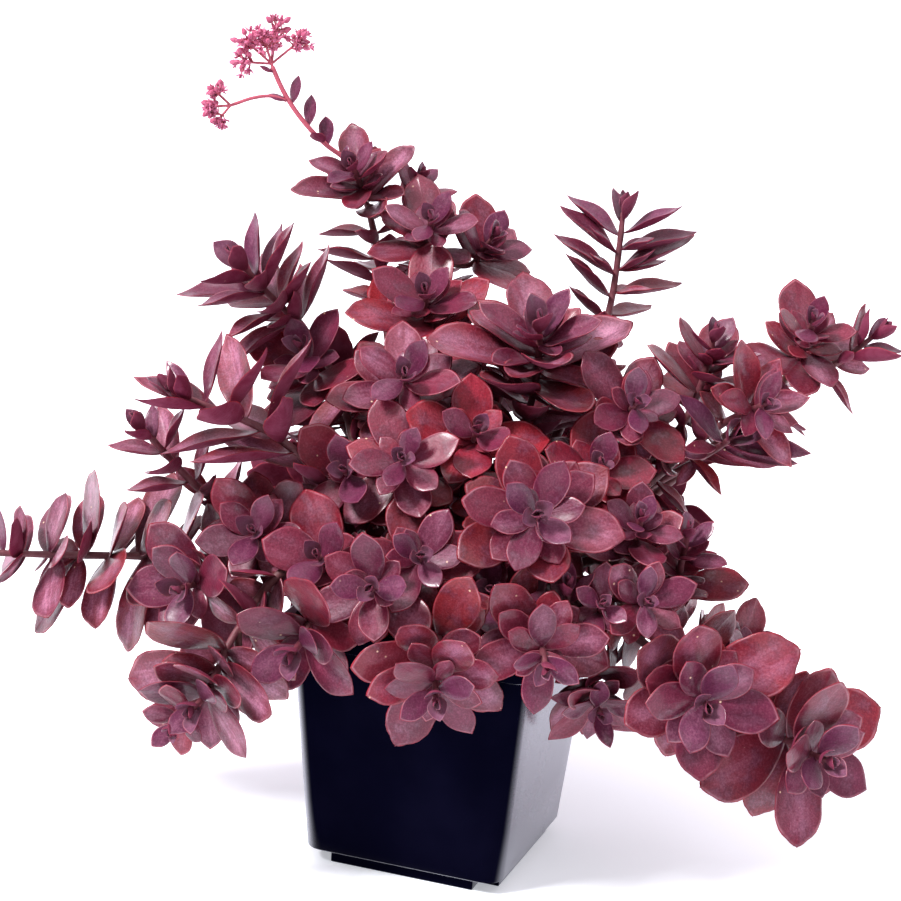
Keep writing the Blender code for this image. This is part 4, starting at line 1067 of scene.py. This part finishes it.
def soil_finish():
    """Damp brown potting mix."""
    finish = Finish("potting mix", SOIL["wet"], Specular_IOR_Level=0.25, Roughness=0.95)
    crumb = finish.grain(2.2 * MM, 4, 0.7)
    finish.lay(finish.step(crumb, 0.35, 0.7), SOIL["dry"])
    return finish.done(Normal=finish.bump(crumb, 1.2 * MM))


def floor_finish():
    """A pale floor that glows a little, as paper does in a studio."""
    finish = Finish("pale floor", FLOOR_COLOUR, Roughness=0.9, Specular_IOR_Level=0.1)
    return finish.done(Emission_Color=FLOOR_COLOUR, Emission_Strength=FLOOR_GLOW)


def as_mesh(name, work):
    """A mesh of what has been modelled, which is then let go."""
    mesh = bpy.data.meshes.new(name)
    work.to_mesh(mesh)
    work.free()
    return mesh


def add_object(name, data):
    """A new object of the scene, at the origin."""
    made = bpy.data.objects.new(name, data)
    bpy.context.scene.collection.objects.link(made)
    return made


def finished_piece(name, work, material, nodes):
    """A piece of the picture, which rides on the pot's body and stands for nodes."""
    bmesh.ops.recalc_face_normals(work, faces=work.faces)
    mesh = as_mesh(name, work)
    for face in mesh.polygons:
        face.use_smooth = True
    mesh.materials.append(material)
    made = add_object(name, mesh)
    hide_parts(*nodes)
    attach(made, "root")
    return made


def hermite(a, b, ahead_a, ahead_b, t):
    """A point between two stations of a stem, t of the way, which leaves and arrives along its tangents."""
    length = (b - a).length
    start = a * (2 * t**3 - 3 * t**2 + 1) + b * (3 * t**2 - 2 * t**3)
    return start + ahead_a * length * (t**3 - 2 * t**2 + t) + ahead_b * length * (t**3 - t**2)


def tangents(path):
    """The way that a stem runs at each of its stations."""
    steps = [(b - a) for a, b in zip(path, path[1:])]
    inner = []
    for a, b in zip(steps, steps[1:]):
        inner.append((a.normalized() / a.length + b.normalized() / b.length).normalized())
    return [steps[0].normalized(), *inner, steps[-1].normalized()]


def on_stem(path, place):
    """The point of the smooth stem that belongs to a point of its straight lengths."""
    ways = tangents(path)
    best = None
    for i, (a, b) in enumerate(zip(path, path[1:])):
        t = min(max((place - a).dot(b - a) / (b - a).length_squared, 0), 1)
        apart = (a.lerp(b, t) - place).length
        if best is None or apart < best[0]:
            best = (apart, i, t)
    _, i, t = best
    if t >= 1 and i == len(path) - 2:
        return place.copy()
    return hermite(path[i], path[i + 1], ways[i], ways[i + 1], t)


def smooth_path(path, steps):
    """A stem's points, so many for each of its straight lengths."""
    ways = tangents(path)
    points = [path[0]]
    for i, (a, b) in enumerate(zip(path, path[1:])):
        points.extend(hermite(a, b, ways[i], ways[i + 1], (k + 1) / steps) for k in range(steps))
    return points


class Blank:
    """A ball whose points are moved before it is added to a piece, as often as it is wanted."""

    def __init__(self, sides, rings, attributes):
        work = bmesh.new()
        bmesh.ops.create_uvsphere(work, u_segments=sides, v_segments=rings, radius=1)
        self.mesh = as_mesh("blank", work)
        for name in attributes:
            self.mesh.attributes.new(name, "FLOAT_VECTOR", "POINT")
        flat = np.empty(3 * len(self.mesh.vertices))
        self.mesh.vertices.foreach_get("co", flat)
        self.ball = flat.reshape(-1, 3)
        x, y, self.face = self.ball.T
        self.sides = sides
        self.out = np.hypot(x, y)
        self.out[self.out < 1e-4] = 0
        self.turn = np.mod(np.round(np.arctan2(y, x) / (2 * math.pi) * sides), sides)

    def add(self, work, places, **attributes):
        """Adds the ball with its points at new places, and its attributes' three columns."""
        self.mesh.vertices.foreach_set("co", places.ravel())
        for name, columns in attributes.items():
            values = np.column_stack(np.broadcast_arrays(*columns, self.face))[:, :3]
            self.mesh.attributes[name].data.foreach_set("vector", values.ravel())
        work.from_mesh(self.mesh)


def blade_outline(leaf, blank, chance):
    """How far out each of the blank's points lies on the blade, along it, and across it from -1 to 1."""
    out, turn, sides = blank.out**RIM_CROWD, blank.turn, blank.sides
    grown = min(1.0, max(0.0, leaf.pair / TOOTHED_FROM))
    lance = leaf.width < LANCE_BROAD * leaf.length
    young_shape, grown_shape = (LANCE_SHAPE, LANCE_SHAPE) if lance else (YOUNG_SHAPE, GROWN_SHAPE)
    widest, root_power, tip_power = (a + (b - a) * grown for a, b in zip(young_shape, grown_shape))
    t = (1 - np.cos(2 * math.pi * turn / sides)) / 2
    rootward = np.sin(math.pi / 2 * np.clip(t / widest, 0, 1) ** root_power)
    tipward = np.cos(math.pi / 2 * np.clip((t - widest) / (1 - widest), 0, 1) ** tip_power)
    across = np.where(t < widest, rootward, tipward) * np.where(turn < sides / 2, 1, -1)
    if grown > TOOTHED_AGE:
        step = np.abs(turn - sides / 2)
        notch = np.where(np.mod(step, TOOTH_SIDES) == 1, -1.0, TOOTH_CREST)
        notch = np.where((t > TEETH_FROM) & (step > 0), notch, 0)
        out = out * (1 + TOOTH_DEPTH * notch * out**TOOTH_RIM * chance.uniform(*TOOTH_SPREAD))
    return out, FINE_MIDDLE + (t - FINE_MIDDLE) * out, across * out


def fine_blade(leaf, blank, chance):
    """The blank's points drawn out to a fleshy blade, with what its finish reads."""
    out, along, across = blade_outline(leaf, blank, chance)
    half = leaf.width / 2
    waves = blank.turn / blank.sides * 2 * math.pi * chance.choice(WAVES) + chance.uniform(0, 6)
    lift = np.sin(waves) * out**WAVE_RIM * WAVE_SHARE * half * chance.uniform(*WAVE_SPREAD)
    flesh = np.clip(1 - np.clip(out, 0, 1) ** EDGE_FULL, 0, 1) ** EDGE_SHARP
    lift += np.sign(blank.face) * flesh * leaf.thickness / 2 * (1 - THIN_TIP * along)
    lift += leaf.cup * half * across**2
    if leaf.width < NARROW * leaf.length and leaf.pair > 0:
        fold = KEEL * half * (np.abs(across) ** KEEL_POWER - KEEL_SUNK)
        lift += fold * np.sin(math.pi * np.clip(along, 0, 1))
    skew = chance.uniform(-SKEW, SKEW) * leaf.length
    curl = leaf.bend * along
    forward, raised = leaf.length * along, 0 * along
    if abs(leaf.bend) > LEAST_BEND:
        forward = leaf.length * np.sin(curl) / leaf.bend
        raised = leaf.length * (1 - np.cos(curl)) / leaf.bend
    ahead, up = np.array(leaf.along), np.array(leaf.face)
    twist = chance.uniform(-BLADE_TWIST, BLADE_TWIST) * along
    sideways = np.outer(np.cos(twist), np.cross(ahead, up)) + np.outer(np.sin(twist), up)
    upward = np.outer(np.cos(curl), up) - np.outer(np.sin(curl), ahead)
    places = np.array(leaf.base) + np.outer(forward, ahead) + np.outer(raised, up)
    places = places + sideways * (across * half + skew * along**2)[:, None] + upward * lift[:, None]
    return places, np.clip(out, 0, 1), along, across


def add_leaf(work, leaf, blanks, tone, pale=0.0):
    """One fine blade in a plant's mesh, so red and so pale."""
    chance = random.Random(f"{leaf.shoot} {leaf.pair} {leaf.base.x:.4f} {leaf.length:.4f}")
    blank = next(blanks[size] for size in BLADE_SIZES if leaf.length >= size[0])
    places, out, along, across = fine_blade(leaf, blank, chance)
    age = min(1.0, max(0.0, (leaf.pair + 0.5) / OLD_PAIR))
    red = min(1, max(0, tone + chance.uniform(-REDNESS_SPREAD, REDNESS_SPREAD)))
    # Each leaf's share of bloom and painted sheen, more on the shoots in the open light.
    waxy_sheen = min(MOST_BLOOM_AND_SHEEN, chance.random() + pale)
    blank.add(work, places, blade=(out, along, across), leaf=(age, waxy_sheen, red), face=(blank.face, 0, 0))


def heart_leaves(shoot, path):
    """The smallest leaves, folded over the shoot's tip."""
    tip, ahead, zero = reared(shoot, path, 0)
    for pair, share, angle in HEART_PAIRS:
        for side in (0, 1):
            chance = random.Random(f"{shoot.name} heart {pair} {side}")
            spread = chance.uniform(-HEART_TURN_SPREAD, HEART_TURN_SPREAD)
            turn = math.radians(shoot.turn + shoot.twist * pair + 180 * side + spread)
            outward = Quaternion(ahead, turn) @ zero
            spread = chance.uniform(-HEART_ANGLE_SPREAD, HEART_ANGLE_SPREAD)
            tilt = math.radians(angle * shoot.open / HEART_OPEN + spread)
            along = ahead * math.cos(tilt) + outward * math.sin(tilt)
            face = ahead * math.sin(tilt) - outward * math.cos(tilt)
            back = leaf_back(shoot, pair, side) if pair > 0 else HEART_STEP * pair - HEART_STAGGER * side
            length = shoot.leaf * MM * share * (1 + shoot.youngest) * chance.uniform(*HEART_SPREAD)
            width = length * max(shoot.broad * HEART_NARROWER, HEART_WIDTH)
            shape = (length, width, HEART_BEND, HEART_CUP, HEART_THICKNESS * (HEART_THINNEST + share))
            yield Leaf(shoot.name, pair, tip - ahead * back, along, face, *shape)


def add_round_stem(work, points, radii, layer, colours, sides):
    """A round closed stem through points, its two ends drawn to a point."""
    rings = len(points)
    grid = bmesh.ops.create_grid(work, x_segments=rings - 1, y_segments=sides, size=0.5)["verts"]
    ahead = (points[1] - points[0]).normalized()
    side = ahead.orthogonal().normalized()
    frames = []
    for i, point in enumerate(points):
        last = min(i + 1, rings - 1)
        turned = (points[last] - points[max(i - 1, 0)]).normalized()
        side = ahead.rotation_difference(turned) @ side
        ahead = turned
        frames.append((point, side.copy(), ahead.cross(side)))
    for vert in grid:
        i = round((vert.co.x + 0.5) * (rings - 1))
        turn = (vert.co.y + 0.5) * 2 * math.pi
        centre, right, up = frames[i]
        vert.co = centre + (right * math.cos(turn) + up * math.sin(turn)) * radii[i]
        vert[layer] = colours[i]
    bmesh.ops.remove_doubles(work, verts=grid, dist=1e-7)


def stem_mesh(work, path, leaves, layer, share=1.0, pink=0.0, radius=None, drawn=(STEM_SIDES, STEM_SMOOTH)):
    """A shoot's stem, a little thicker where each pair of leaves stands or stood."""
    sides, steps = drawn
    points = smooth_path(path, steps)
    whole = path_length(points)
    gone, nodes = 0.0, [on_stem(path, leaf.base) for leaf in leaves]
    radii, colours = [], []
    for i, point in enumerate(points):
        if i:
            gone += (points[i] - points[i - 1]).length
        t = gone / whole
        base = radius or (STEM_ROOT_RADIUS + (STEM_TIP_RADIUS - STEM_ROOT_RADIUS) * t) * share
        near = min(((point - node).length for node in nodes), default=1)
        swell = max(0.0, 1 - near / NODE_REACH)
        radii.append(base * (1 + NODE_SWELL * swell))
        colours.append((t, swell, pink))
    foot = points[0] - (points[1] - points[0]).normalized() * STEM_FOOT
    cap = points[-1] + (points[-1] - points[-2]).normalized() * STEM_CAP
    colours = [colours[0], *colours, colours[-1]]
    add_round_stem(work, [foot, *points, cap], [0.0, *radii, 0.0], layer, colours, sides)


def dress_plant(shoot, paths, leaves, blanks, leaf_material, stem_material):
    """A plant's stems and its leaves, as two pieces that stand for one node."""
    work = bmesh.new()
    stems = bmesh.new()
    skin = stems.verts.layers.float_vector.new("stem")
    for member in SHOOTS:
        if shoot.name not in (member.name, member.parent):
            continue
        path = paths[member.name]
        own = [leaf for leaf in leaves if leaf.shoot == member.name]
        stem_mesh(stems, path, own, skin, 1 if member is shoot else BRANCH_SHARE)
        moved = [leaf._replace(base=on_stem(path, leaf.base)) for leaf in own]
        redness, paleness = REDNESS.get(member.name, PLAIN_REDNESS), PALENESS.get(member.name, 0)
        for leaf in [*moved, *heart_leaves(member, path)]:
            add_leaf(work, leaf, blanks, redness, paleness)
    if shoot.name == STALK_OF:
        stalk = stalk_path(paths)
        stem_mesh(stems, stalk, [], skin, pink=1.0, radius=STALK_RADIUS)
        side = bezier([seen(place) for place in SIDE_STALK], SIDE_STALK_POINTS)
        stem_mesh(stems, side, [], skin, pink=1.0, radius=SIDE_STALK_RADIUS)
        for leaf in bracts(stalk):
            add_leaf(work, leaf, blanks, 0)
    node = "shoot_" + shoot.name
    finished_piece(shoot.name + "_leaves", work, leaf_material, [node])
    finished_piece(shoot.name + "_stem", stems, stem_material, [node])


def add_petal(work, blank, base, along, face, shape, look):
    """A pointed petal, from a ball drawn out flat."""
    length, width, cup = shape
    x, y, z = blank.ball.T
    t = (1 - x) / 2
    sideways = np.array(along.cross(face))
    half = width / 2 * y * (1 - PETAL_TAPER * t)
    lift = cup * length * t * t + z * width * PETAL_FLESH
    flat = np.array(base) + np.outer(t * length, along) + np.outer(half, sideways)
    blank.add(work, flat + np.outer(lift, face), petal=(t, *look))


def add_open_flower(work, blank, place, outward, chance, size):
    """Five petals round a cup of five carpels."""
    start = chance.uniform(0, 2)
    side = outward.orthogonal().normalized()
    petal = (size, size * PETAL_BROAD, PETAL_CUP)
    carpel = (size * CARPEL_LONG, size * CARPEL_BROAD, 0)
    for k in range(PETALS):
        spoke = Quaternion(outward, start + k * 2 * math.pi / PETALS) @ side
        rise = chance.uniform(*PETAL_RISE)
        along = (spoke + outward * rise).normalized()
        face = (outward - spoke * rise).normalized()
        add_petal(work, blank, place, along, face, petal, (0, chance.uniform(*PETAL_SHADE)))
        spoke = Quaternion(outward, start + (k + 0.5) * 2 * math.pi / PETALS) @ side
        along = (outward + spoke * CARPEL_LEAN).normalized()
        add_petal(work, blank, place, along, -spoke, carpel, CARPEL_LOOK)


def add_closed_flower(work, blank, place, outward, chance, size):
    """A bud of five petals folded to a point."""
    shade = chance.uniform(*CLOSED_SHADE)
    x, y, z = blank.ball.T
    t = (z + 1) / 2
    ribs = 1 + CLOSED_RIBS * np.cos(PETALS * np.arctan2(y, x))
    reach = size * CLOSED_BROAD * ribs * (1 - PETAL_TAPER * t)
    turned = np.array(outward.to_track_quat("Z", "Y").to_matrix())
    places = np.column_stack((x * reach, y * reach, (t - CLOSED_SUNK) * size)) @ turned.T + np.array(place)
    blank.add(work, places, petal=(t, 1, shade))


def dress_head(head, petal, bud, bloom_material, stem_material):
    """A flower head drawn in full on the rays of the plain one."""
    chance = random.Random(head.name)
    axis = direction(head.looks)
    base = seen(head.base)
    centre = base + axis * HEAD_FOOT / 2
    work = bmesh.new()
    stems = bmesh.new()
    skin = stems.verts.layers.float_vector.new("stem")

    def add_ray(path, thick):
        stem_mesh(stems, path, [], skin, pink=1.0, radius=RAY_RADIUS * thick, drawn=(RAY_SIDES, RAY_SMOOTH))

    add_ray([base - axis * HEAD_SUNK, base + axis * HEAD_FOOT], RAY_SWELL)
    for i, (*way, length) in enumerate(head.sprays):
        spray = direction(way)
        knot = centre + spray * length * MM
        add_ray([centre, centre.lerp(knot, 0.5), knot], 1.0)
        own = random.Random(f"{head.name} {i}")
        for k in range(head.stars + head.buds):
            outward = around(spray, math.radians(chance.uniform(*FLORET_TILT)), GOLDEN_TURN * (k + i))
            end = knot + outward * head.reach * MM * chance.uniform(*FLORET_SPREAD)
            add_ray([knot, knot.lerp(end, 0.5), end], FLORET_RAY)
            if k < head.stars:
                add_open_flower(work, petal, end, (end - knot).normalized(), own, OPEN_SIZE)
            else:
                add_closed_flower(work, bud, end, (end - knot).normalized(), own, CLOSED_SIZE)
        for k in range(MORE_FLORETS):
            outward = around(spray, math.radians(own.uniform(*MORE_TILT)), GOLDEN_TURN * (k + i) + MORE_TURN)
            fork = centre.lerp(knot, own.uniform(*FORKS_AT))
            end = fork + outward * head.reach * MM * own.uniform(*MORE_SPREAD)
            add_ray([fork, fork.lerp(end, 0.5), end], MORE_RAY)
            if own.random() < MORE_CLOSED:
                add_closed_flower(work, bud, end, outward, own, MORE_CLOSED_SIZE)
            else:
                add_open_flower(work, petal, end, outward, own, MORE_OPEN_SIZE)
    finished_piece(head.name + "_flowers", work, bloom_material, [head.name])
    finished_piece(head.name + "_rays", stems, stem_material, [head.name])


def square_ring(work, width, corner, height):
    """A level ring of points on a square with rounded corners, and its edges."""
    ring = bmesh.ops.create_circle(work, segments=POT_SIDES, radius=1)["verts"]
    flat = width / 2 - corner
    for point in ring:
        turn = math.atan2(point.co.y, point.co.x)
        quarter = round((turn - math.pi / 4) / (math.pi / 2))
        centre = math.pi / 4 + quarter * math.pi / 2
        share = (turn - centre) / (math.pi / 4)
        x_sign = 1 if math.cos(centre) > 0 else -1
        y_sign = 1 if math.sin(centre) > 0 else -1
        bend = max(-1, min(1, share / CORNER_SHARE)) * math.pi / 4
        x = x_sign * flat + corner * math.cos(centre + bend)
        y = y_sign * flat + corner * math.sin(centre + bend)
        past = (abs(share) - CORNER_SHARE) / (1 - CORNER_SHARE)
        if past > 0:
            if abs(math.cos(centre + bend)) > abs(math.sin(centre + bend)):
                y -= y_sign * flat * past
            else:
                x -= x_sign * flat * past
        point.co = (x, y, height)
    return {edge for point in ring for edge in point.link_edges}


def stack_rings(work, levels):
    """A closed skin through rounded squares, each given as its width, corner and height."""
    rings = [square_ring(work, *level) for level in levels]
    for lower, upper in zip(rings, rings[1:]):
        bmesh.ops.bridge_loops(work, edges=list(lower | upper))
    for ring in (rings[0], rings[-1]):
        bmesh.ops.holes_fill(work, edges=list(ring), sides=0)


def cut_from(made, work):
    """Cuts shapes from a piece's mesh."""
    cutter = add_object("cutter", as_mesh("cutter", work))
    boolean = made.modifiers.new("cut", "BOOLEAN")
    boolean.operation = "DIFFERENCE"
    boolean.object = cutter
    boolean.solver = "EXACT"
    boolean.use_self = True
    evaluated = made.evaluated_get(bpy.context.evaluated_depsgraph_get())
    cut = bpy.data.meshes.new_from_object(evaluated)
    made.modifiers.clear()
    made.data = cut
    bpy.data.objects.remove(cutter)


def pot_levels():
    """The pot's widths, corners and heights: up its outside, over its rim and down to its floor."""
    soft = POT_SOFT
    under_rim = POT_HEIGHT - RIM_DEPTH
    floor = FOOT_HEIGHT + FLOOR_THICKNESS
    inner = pot_width(POT_HEIGHT) - 2 * POT_WALL
    walls = [FOOT_HEIGHT + (under_rim - FOOT_HEIGHT) * share for share in (0.25, 0.5, 0.75, 1)]
    return [
        (POT_BASE_WIDTH - 4 * soft, POT_CORNER - 2 * soft, FOOT_HEIGHT),
        (POT_BASE_WIDTH - soft, POT_CORNER - soft, FOOT_HEIGHT + 0.25 * soft),
        (POT_BASE_WIDTH, POT_CORNER, FOOT_HEIGHT + soft),
        *((pot_width(height), POT_CORNER, height) for height in walls),
        (RIM_WIDTH - soft, POT_CORNER, under_rim + 0.1 * MM),
        (RIM_WIDTH, POT_CORNER, under_rim + soft),
        (RIM_WIDTH, POT_CORNER, POT_HEIGHT - soft),
        (RIM_WIDTH - 0.6 * soft, POT_CORNER - 0.3 * soft, POT_HEIGHT - 0.3 * soft),
        (RIM_WIDTH - 2 * soft, POT_CORNER - soft, POT_HEIGHT),
        (inner + 1.2 * soft, POT_CORNER - POT_WALL + 0.6 * soft, POT_HEIGHT),
        (inner, POT_CORNER - POT_WALL, POT_HEIGHT - soft),
        (pot_width(floor) - 2 * POT_WALL, POT_CORNER - POT_WALL, floor),
    ]


def dress_pot(material):
    """The pot with its rounded lip, walls, floor and notched foot, and its drain holes."""
    work = bmesh.new()
    stack_rings(work, pot_levels())
    tall = FOOT_HEIGHT + FLOOR_THICKNESS / 2
    for x, y in ((FOOT_WIDTH, FOOT_WIDTH - 2 * FOOT_NOTCH), (FOOT_WIDTH - 2 * FOOT_NOTCH, FOOT_WIDTH)):
        shape = Matrix.Translation((0, 0, tall / 2)) @ Matrix.Diagonal((x, y, tall, 1))
        bar = bmesh.ops.create_cube(work, size=1, matrix=shape)["verts"]
        edges = list({edge for point in bar for edge in point.link_edges})
        bmesh.ops.bevel(
            work, geom=edges, offset=POT_SOFT, affect="EDGES", segments=3, profile=0.5, material=-1
        )
    made = finished_piece("pot_shell", work, material, ["pot"])
    drains = bmesh.new()
    drain = {"radius1": DRAIN_RADIUS, "radius2": DRAIN_RADIUS, "depth": 4 * FLOOR_THICKNESS}
    for x in (-DRAIN_REACH, DRAIN_REACH):
        for y in (-DRAIN_REACH, DRAIN_REACH):
            place = Matrix.Translation((x, y, FOOT_HEIGHT + FLOOR_THICKNESS))
            bmesh.ops.create_cone(drains, cap_ends=True, segments=FINE_DRAIN_SIDES, matrix=place, **drain)
    cut_from(made, drains)
    made.data.set_sharp_from_angle(angle=POT_SHARP_FROM)


def dress_soil(material):
    """Crumbly potting mix, level with the stems' collars."""
    work = bmesh.new()
    edge = pot_width(SOIL_TOP) - 2 * (POT_WALL + GAP)
    low = FOOT_HEIGHT + FLOOR_THICKNESS + GAP
    corner = POT_CORNER - POT_WALL - GAP
    levels = [(pot_width(low) - 2 * (POT_WALL + GAP), corner, low), (edge, corner, SOIL_TOP)]
    for share in SOIL_RINGS:
        levels.append((edge * share, corner * share, SOIL_TOP + SOIL_CROWN * (1 - share**4)))
    stack_rings(work, levels)
    for point in work.verts:
        x, y, z = point.co
        if z > SOIL_TOP - MM and max(abs(x), abs(y)) < edge / 2 - MM:
            point.co.z += noise.noise(point.co * SOIL_LUMPS) * SOIL_LUMP_HEIGHT
    chance = random.Random("crumbs")
    for _ in range(CRUMBS):
        x, y = (chance.uniform(-1, 1) * (edge / 2 - CRUMB_MARGIN) for _ in range(2))
        size = chance.uniform(*CRUMB_SIZE)
        place = Matrix.Translation((x, y, SOIL_TOP + SOIL_CROWN * CRUMB_RISE))
        axis = (chance.random(), chance.random(), chance.random())
        turned = Quaternion(axis, chance.uniform(0, 6)).to_matrix().to_4x4()
        broad, flat = size * chance.uniform(*CRUMB_BROAD), size * chance.uniform(*CRUMB_FLAT)
        shape = Matrix.Diagonal((size, broad, flat, 1))
        bmesh.ops.create_icosphere(work, subdivisions=1, radius=1, matrix=place @ turned @ shape)
    finished_piece("soil_top", work, material, ["soil"])


def dress_world():
    """Even light, whiter from behind the pot than from in front of it."""
    world = bpy.data.worlds.new("studio")
    world.use_nodes = True
    nodes, links = world.node_tree.nodes, world.node_tree.links
    way = nodes.new("ShaderNodeTexCoord")
    facing = nodes.new("ShaderNodeVectorMath")
    facing.operation = "DOT_PRODUCT"
    facing.inputs[1].default_value = BACKDROP.normalized()
    rise = nodes.new("ShaderNodeMapRange")
    rise.interpolation_type = "SMOOTHSTEP"
    for name, value in {"From Min": BACKDROP_FROM, "To Min": DIM_LIGHT, "To Max": WHITE_LIGHT}.items():
        rise.inputs[name].default_value = value
    links.new(way.outputs["Generated"], facing.inputs[0])
    links.new(facing.outputs["Value"], rise.inputs["Value"])
    links.new(rise.outputs["Result"], nodes["Background"].inputs["Strength"])
    nodes["Background"].inputs["Color"].default_value = (*SKY_COLOUR, 1)
    bpy.context.scene.world = world


def dress_stage():
    """A pale floor, soft lamps and the camera."""
    work = bmesh.new()
    bmesh.ops.create_grid(work, x_segments=1, y_segments=1, size=FLOOR_REACH)
    floor = add_object("floor", as_mesh("floor", work))
    floor.data.materials.append(floor_finish())
    for name, (way, strength, wide) in LAMPS.items():
        lamp = bpy.data.lights.new(name, "SUN")
        lamp.energy = strength
        lamp.angle = math.radians(wide)
        turned = Vector(way).to_track_quat("Z", "Y").to_matrix().to_4x4()
        add_object(name, lamp).matrix_world = turned
    dress_world()
    lens = bpy.data.cameras.new("camera")
    lens.lens = LENS
    lens.sensor_width = FILM
    lens.clip_start = LENS_NEAR
    camera = add_object("camera", lens)
    turned = Matrix((RIGHT, UP, TOWARD)).transposed().to_4x4()
    turned.translation = VIEWER
    camera.matrix_world = turned
    bpy.context.scene.camera = camera
    bpy.context.scene.view_settings.view_transform = "Standard"


def main():
    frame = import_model()
    dress_stage()
    paths = part_stems(first_paths())
    scene = bpy.context.evaluated_depsgraph_get()
    still = [BVHTree.FromObject(frame["nodes"][name], scene) for name in ("pot", "soil")]
    room = Room(paths, still)
    grow(room, paths)
    fill_in(room, paths)
    leaves = [leaf for leaf, _, _ in room.placed]
    blanks = {size: Blank(*size[1:], ("blade", "leaf", "face")) for size in BLADE_SIZES}
    petal, bud = Blank(*PETAL_SIDES, ("petal",)), Blank(*CLOSED_SIDES, ("petal",))
    leaf_material, stem_material = leaf_finish(), stem_finish()
    for shoot in SHOOTS:
        if not shoot.parent:
            dress_plant(shoot, paths, leaves, blanks, leaf_material, stem_material)
    bloom_material = bloom_finish()
    for head in HEADS:
        dress_head(head, petal, bud, bloom_material, stem_material)
    dress_pot(pot_finish())
    dress_soil(soil_finish())


main()
